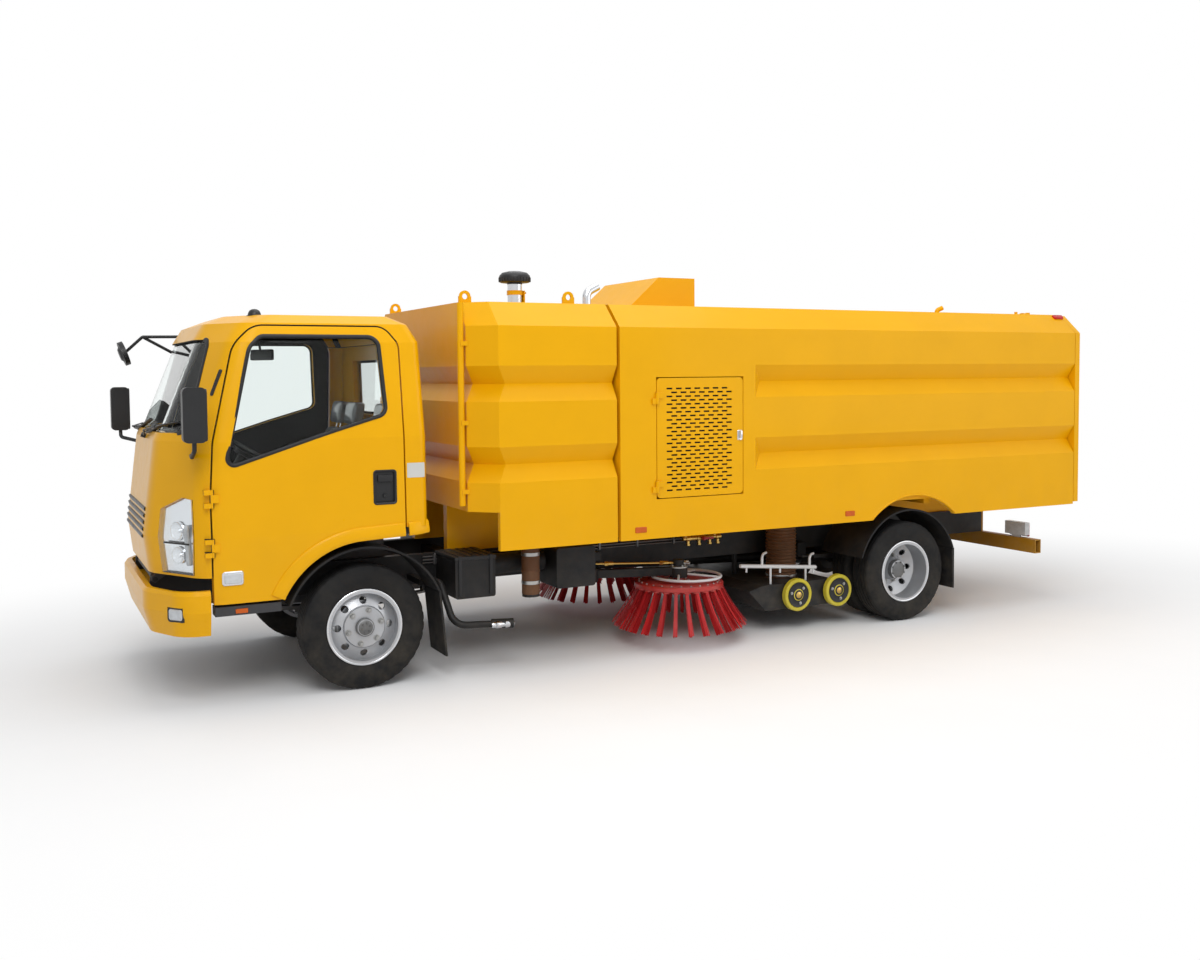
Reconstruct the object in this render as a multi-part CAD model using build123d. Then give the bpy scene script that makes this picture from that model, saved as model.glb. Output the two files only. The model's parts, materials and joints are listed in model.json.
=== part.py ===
"""Street sweeper truck: a cab-over light truck with a suction sweeper body.

Millimetres. +X points to the rear of the truck, +Y to its right side, +Z up.
Every longitudinal station below is measured from the front axle; the finished pieces are
shifted so that the origin lies on the ground, half-way along the truck, on its centre plane.
"""
import os
from math import cos, pi, radians, sin, sqrt

from build123d import *

# Driving dimensions
WHEELBASE = 4475.0
FRONT_END = -1310.0            # front of the bumper
REAR_END = WHEELBASE + 1915.0  # back of the tailgate
ORIGIN_SHIFT = -(FRONT_END + REAR_END) / 2

TYRE_RADIUS = 405.0
TYRE_WIDTH = 215.0
RIM_RADIUS = 232.0             # bead seat
FRONT_WHEEL_Y = 835.0          # centre plane of a front wheel
KINGPIN_Y = 715.0
DUAL_Y = 820.0                 # mid plane between the twin rear wheels
DUAL_SPACING = 260.0
AXLE_Z = TYRE_RADIUS

FRAME_HALF_WIDTH = 425.0       # outer face of a rail
FRAME_BOTTOM = 560.0
FRAME_HEIGHT = 210.0
FRAME_TOP = FRAME_BOTTOM + FRAME_HEIGHT
FRAME_FLANGE = 65.0
FRAME_PLATE = 8.0
FRAME_FRONT = -1120.0
FRAME_REAR = WHEELBASE + 1475.0

BODY_HALF_WIDTH = 1150.0
SKIRT_BOTTOM = 862.0
ROOF_Z = 2526.0
SHOULDER_Z = 2361.0            # crease where the roof chamfer meets the side
SHOULDER_INSET = 170.0
GROOVE_DEPTH = 75.0
GROOVE_HALF_HEIGHT = 120.0
GROOVE_CENTRES = (1435.0, 1975.0)
MODULE_FRONT = 700.0
MODULE_BEVEL = 165.0
MODULE_REAR = 1750.0
MODULE_FLOOR = 1120.0
MODULE_WALL = 40.0
HOPPER_FRONT = 1775.0
HOPPER_REAR = WHEELBASE + 1825.0
HOPPER_SIDE = 110.0            # thickness of a side wall with its ribs
HOPPER_FLOOR = 1000.0
HOPPER_FLOOR_PLATE = 60.0
HOPPER_ROOF_PLATE = 76.0
PARTITION_X = 2860.0
BULKHEAD = 50.0
TIP_HINGE = (WHEELBASE + 1375.0, 930.0)           # x, z of the hopper's tipping pin
TAILGATE_HINGE = (HOPPER_REAR + 3.0, 2545.0)
BEAM_Y = (330.0, 400.0)        # body bearers above the rails

CAB_WALL = 60.0
SILL_Z = 640.0
PANEL_BOTTOM = 815.0           # lower edge of the front panel, above the bumper
ARCH_RADIUS = 575.0
ARCH_ROOM = 40.0               # between the cab's arch and the front mudguard under it
CAB_REAR_EDGE = 1050.0         # lower edge of the cab behind the front wheel
CAB_PIVOT = (-1222.0, 760.0)   # x, z of the cab's tilt pin
DOOR_HINGE = (-945.0, 1008.0)  # x, distance of the door's hinge line from the centre plane
DOOR_GAP = 6.0
CAB_DOOR_GAP = 10.0
GLASS = 6.0
GLASS_SET_BACK = 22.0

BAY_SPREAD = WHEELBASE / 4475.0               # what hangs between the axles keeps its share of the wheelbase
BROOM = (2505.0 * BAY_SPREAD, 720.0)          # x and distance from the centre plane of a broom's spindle
BROOM_TIP_RADIUS = 520.0
BROOM_DISC_RADIUS = 340.0
BROOM_TIP_Z = 110.0
BROOM_DISC_Z = 420.0
BROOM_DISC = 40.0
BROOM_TUFTS = 26
BROOM_POST = (1850.0 * BAY_SPREAD, 520.0)     # x and distance from the centre plane of the arm's pivot
BROOM_POST_Z = 530.0
POST_LEAN = 0.15                              # the pivot leans out by this share of its height
POST_RADIUS = 35.0

PICKUP_FRONT = BROOM[0] + BROOM_TIP_RADIUS + 5.0
PICKUP_REAR = WHEELBASE - 535.0
PICKUP_SCALE = (PICKUP_REAR - PICKUP_FRONT) / 910.0
PICKUP_WHEELS_X = (WHEELBASE - 1012.0, WHEELBASE - 612.0)
PICKUP_WHEEL_RADIUS = 128.0
PICKUP_WHEEL_Z = 290.0
PICKUP_HALF_WIDTH = 900.0
PICKUP_BOTTOM = 178.0
PICKUP_TOP = 380.0
SUCTION = (PICKUP_FRONT + 520.0 * PICKUP_SCALE, -600.0)   # x, y of the suction inlet
SUCTION_RADIUS = 125.0

RUNNING = 0.05                 # radial clearance of a pin in its bore
SEAT = 0.3                     # clearance between pieces that rest on each other


# Helpers
def block(x0, x1, y0, y1, z0, z1):
    """Box between two corners."""
    return Pos((x0 + x1) / 2, (y0 + y1) / 2, (z0 + z1) / 2) * Box(x1 - x0, y1 - y0, z1 - z0)


def side_prism(points, y0, y1, radius=None):
    """Outline drawn in side view, as (x, z), extruded across the truck from y0 to y1."""
    spots = [(x, y0, z) for x, z in points]
    line = Polyline(*spots, close=True) if radius is None else FilletPolyline(*spots, radius=radius, close=True)
    return extrude(make_face(line), amount=y1 - y0, dir=(0, 1, 0))


def cross_prism(points, x0, x1):
    """Outline drawn in cross-section, as (y, z), extruded along the truck from x0 to x1."""
    face = make_face(Polyline(*[(x0, y, z) for y, z in points], close=True))
    return extrude(face, amount=x1 - x0, dir=(1, 0, 0))


def cylinder_y(x, z, radius, y0, y1):
    """Cylinder across the truck."""
    return Pos(x, (y0 + y1) / 2, z) * Rot(90, 0, 0) * Cylinder(radius, abs(y1 - y0))


def cylinder_z(x, y, radius, z0, z1):
    """Upright cylinder."""
    return Pos(x, y, (z0 + z1) / 2) * Cylinder(radius, abs(z1 - z0))


def rod(start, end, radius):
    """Round bar between two points."""
    a = Vector(*start)
    b = Vector(*end)
    plane = Plane(origin=a, z_dir=(b - a))
    return extrude(plane * Circle(radius), amount=(b - a).length)


def bent_tube(points, radius, bends):
    """Round tube along straight runs joined by tangent arcs."""
    path = FilletPolyline(*points, radius=bends)
    start = Plane(origin=path @ 0, z_dir=path % 0)
    return sweep(start * Circle(radius), path=path)


def spun(profile, x, y, z):
    """Ring about an axis across the truck; profile is (outward offset, radius), y the mid plane."""
    face = make_face(Polyline(*[(0, y - s, r) for s, r in profile], close=True))
    return Pos(x, 0, z) * revolve(face, axis=Axis.Y)


def fuse(shapes):
    """Union of a list of solids."""
    total = shapes[0]
    for shape in shapes[1:]:
        total = total + shape
    return total


def right_hand(shape):
    """The same piece on the other side of the truck."""
    return mirror(shape, about=Plane.XZ)


def both(shape):
    """A left-hand piece and its right-hand twin."""
    return [shape, right_hand(shape)]


pieces = {}


def add(name, *shapes):
    """Stores one node made of one or more separate solids."""
    pieces[name] = list(shapes)


# Chassis
CROSSMEMBERS_X = (-1050.0, -520.0, 880.0, BROOM_POST[0] - 400.0, BROOM[0] - 155.0, PICKUP_FRONT + 120.0,
                  WHEELBASE - 475.0, WHEELBASE + 505.0, WHEELBASE + 1405.0)
SPRING_FRONT_Y = 392.0
SPRING_REAR_Y = 480.0
SPRING_WIDTH = 70.0
LEAF = 14.0
GUIDE_X = (PICKUP_FRONT + 270.0 * PICKUP_SCALE, PICKUP_FRONT + 770.0 * PICKUP_SCALE)
GUIDE_Y = 300.0
GUIDE_RADIUS = 20.0
CYLINDER_BASE = (WHEELBASE - 175.0, 650.0)
CYLINDER_EYE = (WHEELBASE + 825.0, 950.0)
CYLINDER_Y = 250.0
WEB_INSIDE = FRAME_HALF_WIDTH - FRAME_PLATE


def on_post(z):
    """Point at height z on the leaning pivot of the left broom arm."""
    return (BROOM_POST[0], -BROOM_POST[1] - POST_LEAN * (z - BROOM_POST_Z), z)


def frame_rails():
    flange_in = FRAME_HALF_WIDTH - FRAME_FLANGE
    channel = [
        (-FRAME_HALF_WIDTH, FRAME_BOTTOM), (-flange_in, FRAME_BOTTOM),
        (-flange_in, FRAME_BOTTOM + FRAME_PLATE), (-WEB_INSIDE, FRAME_BOTTOM + FRAME_PLATE),
        (-WEB_INSIDE, FRAME_TOP - FRAME_PLATE), (-flange_in, FRAME_TOP - FRAME_PLATE),
        (-flange_in, FRAME_TOP), (-FRAME_HALF_WIDTH, FRAME_TOP),
    ]
    return both(cross_prism(channel, FRAME_FRONT, FRAME_REAR))


def crossmembers():
    tubes = []
    for x in CROSSMEMBERS_X:
        tube = block(x - 45, x + 45, -WEB_INSIDE, WEB_INSIDE, FRAME_BOTTOM + 50, FRAME_BOTTOM + 150)
        tubes.append(tube - block(x - 37, x + 37, -WEB_INSIDE, WEB_INSIDE, FRAME_BOTTOM + 58, FRAME_BOTTOM + 142))
    return tubes


def frame_brackets():
    """Everything bolted to the rails that carries another body."""
    made = []
    # cab tilt pin on two arms ahead of the rails
    px, pz = CAB_PIVOT
    outline = [(FRAME_FRONT + 200, FRAME_BOTTOM), (FRAME_FRONT + 200, FRAME_TOP), (px + 28, FRAME_TOP),
               (px + 16, pz + 24), (px - 22, pz + 24), (px - 28, pz - 30), (px + 60, FRAME_BOTTOM)]
    arms = both(side_prism(outline, -FRAME_HALF_WIDTH - 20, -FRAME_HALF_WIDTH))
    made.append(fuse(arms + [cylinder_y(px, pz, 16, -FRAME_HALF_WIDTH - 70, FRAME_HALF_WIDTH + 70)]))
    # tipping pins of the hopper on ears above the rail ends
    hx, hz = TIP_HINGE
    ear = [(hx - 70, FRAME_TOP), (hx + 70, FRAME_TOP), (hx + 34, hz + 34), (hx - 34, hz + 34)]
    ears = [side_prism(ear, -y - 8, -y + 8) for y in (345.0, 405.0)]
    pin = cylinder_y(hx, hz, 25, -418, -332)
    foot = block(hx - 70, hx + 70, -413, -337, FRAME_TOP, FRAME_TOP + 12)
    made += both(fuse(ears + [pin, foot]))
    # pivot posts of the broom arms on outriggers
    bx, by = BROOM_POST
    post = rod(on_post(470), on_post(690), POST_RADIUS)
    made += both(post + block(bx - 60, bx + 60, -by - 65, -FRAME_HALF_WIDTH, 640, 700))
    # guide sleeves of the suction head on the inner side of the rails
    for x in GUIDE_X:
        sleeve = cylinder_z(x, -GUIDE_Y, GUIDE_RADIUS + 14, FRAME_BOTTOM + 60, FRAME_BOTTOM + 130)
        lug = block(x - 20, x + 20, -WEB_INSIDE, -GUIDE_Y, FRAME_BOTTOM + 60, FRAME_BOTTOM + 130)
        bore = cylinder_z(x, -GUIDE_Y, GUIDE_RADIUS + RUNNING, FRAME_BOTTOM - 1, FRAME_TOP)
        made += both(sleeve + lug - bore)
    # spring hangers
    for x in (-600.0, 600.0):
        made += both(block(x - 40, x + 40, -SPRING_FRONT_Y - 25, -SPRING_FRONT_Y + 25, 510.3, FRAME_BOTTOM))
    for x in (WHEELBASE - 640, WHEELBASE + 640):
        made += both(block(x - 40, x + 40, -SPRING_REAR_Y - 25, -FRAME_HALF_WIDTH, 510.3, FRAME_BOTTOM + 60))
    # pins of the tipping cylinders
    x, z = CYLINDER_BASE
    pin = cylinder_y(x, z, 20, -WEB_INSIDE, -CYLINDER_Y + 34)
    made += both(pin + block(x - 40, x + 40, -WEB_INSIDE, -CYLINDER_Y - 60, z - 40, z + 40))
    return made


def leaf_spring(x, y, z, leaves, drop, clamp):
    """Stack of leaves under a rail: (half length) per leaf, curved up to the hangers by drop."""
    stack = []
    for i, half in enumerate(leaves):
        top = z + LEAF * (len(leaves) - i)
        rise = drop * (half / leaves[0]) ** 2
        upper = ThreePointArc((x - half, -y, top + rise), (x, -y, top), (x + half, -y, top + rise))
        under = top - LEAF
        lower = ThreePointArc((x - half, -y, under + rise), (x, -y, under), (x + half, -y, under + rise))
        ends = [Line(upper @ 0, lower @ 0), Line(upper @ 1, lower @ 1)]
        face = make_face([upper, lower] + ends)
        stack.append(extrude(face, amount=SPRING_WIDTH / 2, dir=(0, 1, 0), both=True))
    side = SPRING_WIDTH / 2
    stack.append(block(x - 55, x + 55, -y - side, -y + side, z - clamp, z + LEAF * len(leaves)))
    return fuse(stack)


def springs():
    front = leaf_spring(0, SPRING_FRONT_Y, AXLE_Z + 35, (600.0, 470.0, 340.0), 28.0, 21.0)
    rear = leaf_spring(WHEELBASE, SPRING_REAR_Y, AXLE_Z + 62, (640.0, 520.0, 400.0), 1.0, 2.0)
    return both(front) + both(rear)


def front_axle():
    reach = KINGPIN_Y
    beam = [(-reach, AXLE_Z - 20), (-reach + 130, AXLE_Z - 20), (-SPRING_FRONT_Y - 60, AXLE_Z - 75),
            (SPRING_FRONT_Y + 60, AXLE_Z - 75), (reach - 130, AXLE_Z - 20), (reach, AXLE_Z - 20),
            (reach, AXLE_Z + 40), (reach - 130, AXLE_Z + 40), (SPRING_FRONT_Y + 60, AXLE_Z + 14),
            (-SPRING_FRONT_Y - 60, AXLE_Z + 14), (-reach + 130, AXLE_Z + 40), (-reach, AXLE_Z + 40)]
    body = cross_prism(beam, -45, 45)
    groove = [(-reach + 180, AXLE_Z - 10), (-SPRING_FRONT_Y - 40, AXLE_Z - 50), (SPRING_FRONT_Y + 40, AXLE_Z - 50),
              (reach - 180, AXLE_Z - 10), (reach - 180, AXLE_Z + 15), (SPRING_FRONT_Y + 40, AXLE_Z - 8),
              (-SPRING_FRONT_Y - 40, AXLE_Z - 8), (-reach + 180, AXLE_Z + 15)]
    body = body - cross_prism(groove, -46, -15) - cross_prism(groove, 15, 46)
    for side in (-1, 1):
        body = body + cylinder_z(0, side * KINGPIN_Y, 40, AXLE_Z - 60, AXLE_Z + 60)
        body = body - cylinder_z(0, side * KINGPIN_Y, 20 + RUNNING, AXLE_Z - 70, AXLE_Z + 70)
    return body


def rear_axle():
    tube = cylinder_y(WHEELBASE, AXLE_Z, 60, -600, 600)
    stubs = cylinder_y(WHEELBASE, AXLE_Z, 45, -(DUAL_Y + 130), DUAL_Y + 130)
    bowl = spun([(-70, 0), (-70, 120), (-40, 165), (40, 165), (70, 120), (70, 0)], WHEELBASE, 0, AXLE_Z)
    nose = rod((WHEELBASE - 60, 0, AXLE_Z), (WHEELBASE - 300, 0, AXLE_Z + 20), 75)
    shaft = rod((WHEELBASE - 302, 0, AXLE_Z + 22), (802.5, 0, 560), 42)
    y = SPRING_REAR_Y
    pads = both(block(WHEELBASE - 55, WHEELBASE + 55, -y - 35, -y + 35, AXLE_Z - 30, AXLE_Z + 60))
    return [fuse([tube, stubs, bowl, nose] + pads), shaft]


def engines():
    truck = fuse([
        block(-420, 330, -270, 270, 480, 930),
        block(90, 290, -230, 230, 400, 480),
        side_prism([(330, 500), (330, 800), (520, 700), (800, 640), (800, 480), (520, 470)], -150, 150),
    ])
    floor = MODULE_FLOOR + MODULE_WALL
    auxiliary = fuse([
        block(900, 1560, -330, 330, floor, floor + 620),
        block(960, 1500, -240, 240, floor + 620, floor + 780),
    ])
    return [truck, auxiliary]


BAY_FRONT = 640.0              # behind the front mudguards
BAY_SCALE = (BROOM_POST[0] - 100.0 - BAY_FRONT) / 1110.0


def in_bay(distance):
    """Station in the bay between the front wheels and the broom arms, kept in proportion to the bay."""
    return BAY_FRONT + distance * BAY_SCALE


def chassis_boxes():
    """Battery box, hydraulic tank and air receiver on the left, fuel tank on the right."""
    rail = FRAME_HALF_WIDTH

    def box(start, end, low, high, y0, y1, radius):
        x0, x1 = in_bay(start), in_bay(end)
        return side_prism([(x0, low), (x1, low), (x1, high), (x0, high)], y0, y1, radius)
    battery = box(25, 320, 500, 770, -820, -rail, 18)
    oil = box(800, 1110, 500, 790, -800, -rail, 22)
    bracket = block(in_bay(350), in_bay(770), -560, -rail, 690, 720)
    receiver = Pos(in_bay(560), -625, 690) * Rot(0, 90, 0) * Cylinder(72, in_bay(760) - in_bay(360))
    fuel = box(180, 1060, 450, 760, rail, 900, 60)
    x = in_bay(595)
    canister = cylinder_z(x, -800, 62, 470, 860)
    holder = block(x - 20, x + 20, -745, -620, 700, 740)
    return [battery, oil, fuse([bracket, holder, canister, receiver]), fuel]


def front_bumper():
    """Wrap-round bumper, hollow behind, with two fog lamp pockets and a number plate recess."""
    def outline(grow):
        spots = [(-962, -1000 + grow), (-1120, -1000 + grow), (FRONT_END + grow, -640), (FRONT_END + grow, 640),
                 (-1120, 1000 - grow), (-962, 1000 - grow)]
        return spots

    def plan(grow, z):
        spots = [(x, y, z) for x, y in outline(grow)]
        radii = [2, 190, 260, 260, 190, 2]
        return make_face(FilletPolyline(*spots, radius=radii, close=True))
    top, mid, low = 740.0, 610.0, 462.0
    body = loft([plan(40, low), plan(0, mid), plan(0, top - 25), plan(18, top)], ruled=True)
    inner = loft([plan(74, low - 1), plan(34, mid), plan(34, top - 25), plan(52, top + 1)], ruled=True)
    body = body - inner
    inside = -FRAME_HALF_WIDTH + FRAME_PLATE
    stays = both(block(FRONT_END + 20, FRAME_FRONT + 24, inside, inside + 52, 600, 690))
    body = fuse([body] + stays)
    for side in (-1, 1):
        pocket = Pos(-1150, side * 900, 600) * Rot(0, 0, side * -38) * Box(360, 130, 90)
        body = body - pocket
    return body


def mudguards():
    """Front arches with their flaps, and rear arches with theirs."""
    made = []
    sheet = 14.0
    inner = ARCH_RADIUS - ARCH_ROOM - sheet
    out, into = -1000.0, -690.0
    ring = cylinder_y(0, AXLE_Z, inner + sheet, out, into)
    ring = ring - cylinder_y(0, AXLE_Z, inner, out - 1, into + 1)
    ring = ring & block(-ARCH_RADIUS, ARCH_RADIUS, out - 1, into + 1, AXLE_Z + 200, 1200)
    x = sqrt(inner ** 2 - 200 ** 2)
    outline = [(x + 3, AXLE_Z + 195), (x + 3 + sheet, AXLE_Z + 205), (x + 58, 165), (x + 44, 165)]
    flap = side_prism(outline, out, into)
    stay = block(x - 31, x + 14, into - 10, -FRAME_HALF_WIDTH, AXLE_Z + 195, AXLE_Z + 235)
    made.append(fuse([ring, flap, stay]))
    inner = 500.0
    out, into = -1085.0, -575.0
    ring = cylinder_y(WHEELBASE, AXLE_Z, inner + sheet, out, into)
    ring = ring - cylinder_y(WHEELBASE, AXLE_Z, inner, out - 1, into + 1)
    ring = ring & block(WHEELBASE - 520, WHEELBASE + 520, out - 1, into + 1, AXLE_Z + 150, 1000)
    x = WHEELBASE + sqrt(inner ** 2 - 150 ** 2)
    outline = [(x - 10, AXLE_Z + 145), (x + 16, AXLE_Z + 160), (x + 16, 230), (x + 2, 230)]
    flap = side_prism(outline, out, into)
    stay = block(x - 6, x + 14, into - 10, -FRAME_HALF_WIDTH, 600, 640)
    made.append(fuse([ring, flap, stay]))
    return made + [right_hand(s) for s in made]


def rear_bar():
    x = FRAME_REAR + 1
    bar = block(x, x + 70, -1050, 1050, 435, 555) - block(x + 8, x + 62, -1051, 1051, 443, 547)
    y = -FRAME_HALF_WIDTH
    legs = both(block(FRAME_REAR, FRAME_REAR + 20, y, y + FRAME_FLANGE, 550, FRAME_TOP))
    return fuse([bar] + legs)


def tail_lamps():
    x = FRAME_REAR
    lamp = block(x + 8, x + 64, -930, -700, 577, 690)
    hanger = block(x + 16, x + 40, -860, -770, 555, 580)
    return both(lamp + hanger)


def body_levels(low):
    """(height, side inset, front inset) of every crease of the body, from low to the roof."""
    rows = [(low, 0.0, 0.0)]
    for centre in GROOVE_CENTRES:
        rows.append((centre - GROOVE_HALF_HEIGHT, 0.0, 0.0))
        rows.append((centre, GROOVE_DEPTH, GROOVE_DEPTH))
        rows.append((centre + GROOVE_HALF_HEIGHT, 0.0, 0.0))
    rows.append((SHOULDER_Z, 0.0, 0.0))
    rows.append((ROOF_Z, SHOULDER_INSET, 0.0))
    return rows


def module_volume(low, inset):
    """Bevelled box behind the cab whose grooves run round its front; inset shrinks it for the inside."""
    faces = []
    rows = body_levels(low)
    for i, (z, side, front) in enumerate(rows):
        half = BODY_HALF_WIDTH - side - inset
        x0 = MODULE_FRONT + front + inset
        bevel = MODULE_BEVEL
        x1 = MODULE_REAR - inset
        z = z - inset if i == len(rows) - 1 else z
        ring = [(x0, -half + bevel, z), (x0 + bevel, -half, z), (x1, -half, z), (x1, half, z),
                (x0 + bevel, half, z), (x0, half - bevel, z)]
        faces.append(make_face(Polyline(*ring, close=True)))
    return loft(faces, ruled=True)


def front_module():
    shell = module_volume(MODULE_FLOOR, 0) - module_volume(MODULE_FLOOR + MODULE_WALL, MODULE_WALL)
    x0 = MODULE_FRONT + MODULE_BEVEL
    y = -BODY_HALF_WIDTH
    skirts = both(block(x0, MODULE_REAR, y, y + MODULE_WALL, SKIRT_BOTTOM, MODULE_FLOOR))
    bearers = both(block(760, 1730, -BEAM_Y[1], -BEAM_Y[0], FRAME_TOP, MODULE_FLOOR))
    # drain pipe down the front face
    y = y + MODULE_BEVEL + 15
    pipe = cylinder_z(MODULE_FRONT - 32, y, 22, MODULE_FLOOR + MODULE_WALL, ROOF_Z - 10)
    clips = [block(MODULE_FRONT - 40, MODULE_FRONT + 10, y - 30, y + 30, z, z + 30) for z in (1240.0, 1700.0, 2230.0)]
    return fuse([shell] + skirts + bearers + [pipe] + clips)


def eye_plate(x, y, z, height):
    """Upright lifting eye with a round hole across the truck."""
    plate = block(x - 45, x + 45, y - 8, y + 8, z, z + height - 40) + cylinder_y(x, z + height - 40, 40, y - 8, y + 8)
    return plate - cylinder_y(x, z + height - 40, EYE_RADIUS, y - 9, y + 9)


EYE_RADIUS = 20.0
EYE_HEIGHT = 85.0
EYES = ((775.0, 780.0), (1480.0, 940.0))   # x and distance from the centre plane of the lifting eyes
TOW_EYE = (-1060.0, 405.0, 415.0)          # x, distance from the centre plane, z of the front tow eye


def service_eyes():
    made = []
    for x, y in EYES:
        made += both(eye_plate(x, -y, ROOF_Z, EYE_HEIGHT))
    x, y, z = TOW_EYE
    outline = [(x - 50, z - 50), (x + 50, z - 50), (x + 70, FRAME_BOTTOM), (x - 30, FRAME_BOTTOM)]
    tow = side_prism(outline, -y - 12, -y + 12)
    made += both(tow - cylinder_y(x, z, EYE_RADIUS, -y - 13, -y + 13))
    return made


def roof_pipes():
    """Air cleaner stack with its mushroom cap, and the auxiliary engine's exhaust."""
    x, y = 1215.0, -620.0
    pipe = cylinder_z(x, y, 52, ROOF_Z, 2690)
    profile = Polyline((0, 0, 2690), (56, 0, 2690), (56, 0, 2720), (105, 0, 2724), (108, 0, 2734), (88, 0, 2758),
                       (0, 0, 2766), close=True)
    cap = Pos(x, y, 0) * revolve(make_face(profile), axis=Axis.Z)
    ex, ey = 1660.0, -870.0
    start = (ex, ey, ROOF_Z)
    exhaust = bent_tube([start, (ex, ey, 2615), (ex + 90, ey + 4, 2660)], 30, 60)
    bore = Pos(ex + 84, ey + 4, 2657) * Rot(0, 63, 0) * Cylinder(25, 30)
    return [pipe + cap, exhaust - bore]


def spray_nozzles():
    """High-pressure corner nozzles behind the front wheels, each on a pipe from the rail."""
    path = [(600, -FRAME_HALF_WIDTH, 600), (600, -700, 600), (640, -850, 330), (1030, -905, 318)]
    pipe = bent_tube(path, 24, [60, 110])
    tip = rod((900, -882, 322.8), (1050, -908.4, 317.4), 33)
    return both(pipe + tip)


def suction_hose():
    x, y = SUCTION
    top = HOPPER_FLOOR - 12
    hose = cylinder_z(x, y, SUCTION_RADIUS, PICKUP_TOP + SEAT, top)
    flange = cylinder_z(x, y, SUCTION_RADIUS + 30, top - 18, top)
    bore = cylinder_z(x, y, SUCTION_RADIUS - 12, PICKUP_TOP - 5, HOPPER_FLOOR)
    stay = block(x - 40, x + 40, y + SUCTION_RADIUS + 10, -BEAM_Y[1] - 4, top - 18, top)
    stay = stay + block(x - 40, x + 40, -FRAME_HALF_WIDTH, -BEAM_Y[1] - 4, FRAME_TOP, top)
    return (hose + flange - bore) + stay


# Hopper
GRILLE_X = (2065.0, 2808.0)
GRILLE_Z = (1142.0, 2010.0)
GRILLE_FIELD_X = (2150.0, 2730.0)
GRILLE_FIELD_Z = (1200.0, 1955.0)
GRILLE_PITCH = (78.0, 28.0)
GRILLE_SLOT = (50.0, 12.0)
GRILLE_DOOR = 40.0
GRILLE_HINGE = (GRILLE_X[0] + 3.0, BODY_HALF_WIDTH + 10.0)   # x and distance from the centre plane
GRILLE_HINGES_Z = (1250.0, 1880.0)
GROOVE_START = 2915.0
GROOVE_RUN = 91.0
REAR_ARCH = 630.0


def hopper_side(opening):
    """Left wall with its grooves, wheel arch and, where asked, the opening of the grille door."""
    y0, y1 = -BODY_HALF_WIDTH, -BODY_HALF_WIDTH + HOPPER_SIDE
    wall = block(HOPPER_FRONT, HOPPER_REAR, y0, y1, SKIRT_BOTTOM, SHOULDER_Z)
    wall = wall - block(HOPPER_FRONT - 1, HOPPER_REAR + 1, y0 + MODULE_WALL, y1 + 1, SKIRT_BOTTOM - 1, HOPPER_FLOOR)
    end = Plane(origin=(GROOVE_START, y0, 0), x_dir=(0, 0, 1), z_dir=(GROOVE_DEPTH, -GROOVE_RUN, 0))
    for centre in GROOVE_CENTRES:
        vee = cross_prism([(y0 - 1, centre - GROOVE_HALF_HEIGHT - 1.6), (y0 + GROOVE_DEPTH, centre),
                           (y0 - 1, centre + GROOVE_HALF_HEIGHT + 1.6)], GROOVE_START - 5, HOPPER_REAR + 1)
        vee = split(vee, bisect_by=end, keep=Keep.TOP)
        wall = wall - vee
    wall = wall - cylinder_y(WHEELBASE, AXLE_Z, REAR_ARCH, y0 - 1, y0 + MODULE_WALL + 1)
    if opening:
        wall = wall - block(GRILLE_X[0], GRILLE_X[1], y0 - 1, y1 + 1, GRILLE_Z[0], GRILLE_Z[1])
        hx, hy = GRILLE_HINGE
        for z in GRILLE_HINGES_Z:
            leaf = block(hx - 40, hx - 2, y0 - 16, y0 + 1, z - 60, z - 20) - cylinder_z(hx, -hy, 12, z - 70, z)
            wall = wall - cylinder_z(hx, -hy, 16, z - 22, z + 24)
            tube = cylinder_z(hx, -hy, 14, z - 60, z - 20)
            pin = cylinder_z(hx, -hy, 7, z - 60, z + 20)
            wall = fuse([wall, leaf, tube, pin])
    return wall


def hopper_roof():
    half = BODY_HALF_WIDTH
    inner = HOPPER_ROOF_PLATE
    outline = [(-half, SHOULDER_Z), (-half + SHOULDER_INSET, ROOF_Z), (half - SHOULDER_INSET, ROOF_Z),
               (half, SHOULDER_Z), (half - HOPPER_SIDE, SHOULDER_Z),
               (half - SHOULDER_INSET - 40, ROOF_Z - inner), (-half + SHOULDER_INSET + 40, ROOF_Z - inner),
               (-half + HOPPER_SIDE, SHOULDER_Z)]
    roof = cross_prism(outline, HOPPER_FRONT, HOPPER_REAR)
    x = WHEELBASE + 725
    breather = bent_tube([(x, -620, ROOF_Z - 5), (x, -620, ROOF_Z + 40), (x + 45, -640, ROOF_Z + 62)], 20, 26)
    x = HOPPER_REAR - 170
    lugs = [block(x - 10, x + 10, y - 10, y + 10, ROOF_Z - 2, ROOF_Z + 42) for y in (-640.0, 640.0)]
    tx, tz = TAILGATE_HINGE
    ear = [(tx - 120, ROOF_Z - 1), (tx - 6, ROOF_Z - 1), (tx + 18, tz), (tx + 12, tz + 20), (tx - 18, tz + 20)]
    ears = [side_prism(ear, y - 10, y + 10) for y in (-620.0, -560.0, 560.0, 620.0)]
    pins = [cylinder_y(tx, tz, 12, y - 40, y + 40) for y in (-590.0, 590.0)]
    return fuse([roof, breather] + lugs + ears + pins)


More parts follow.
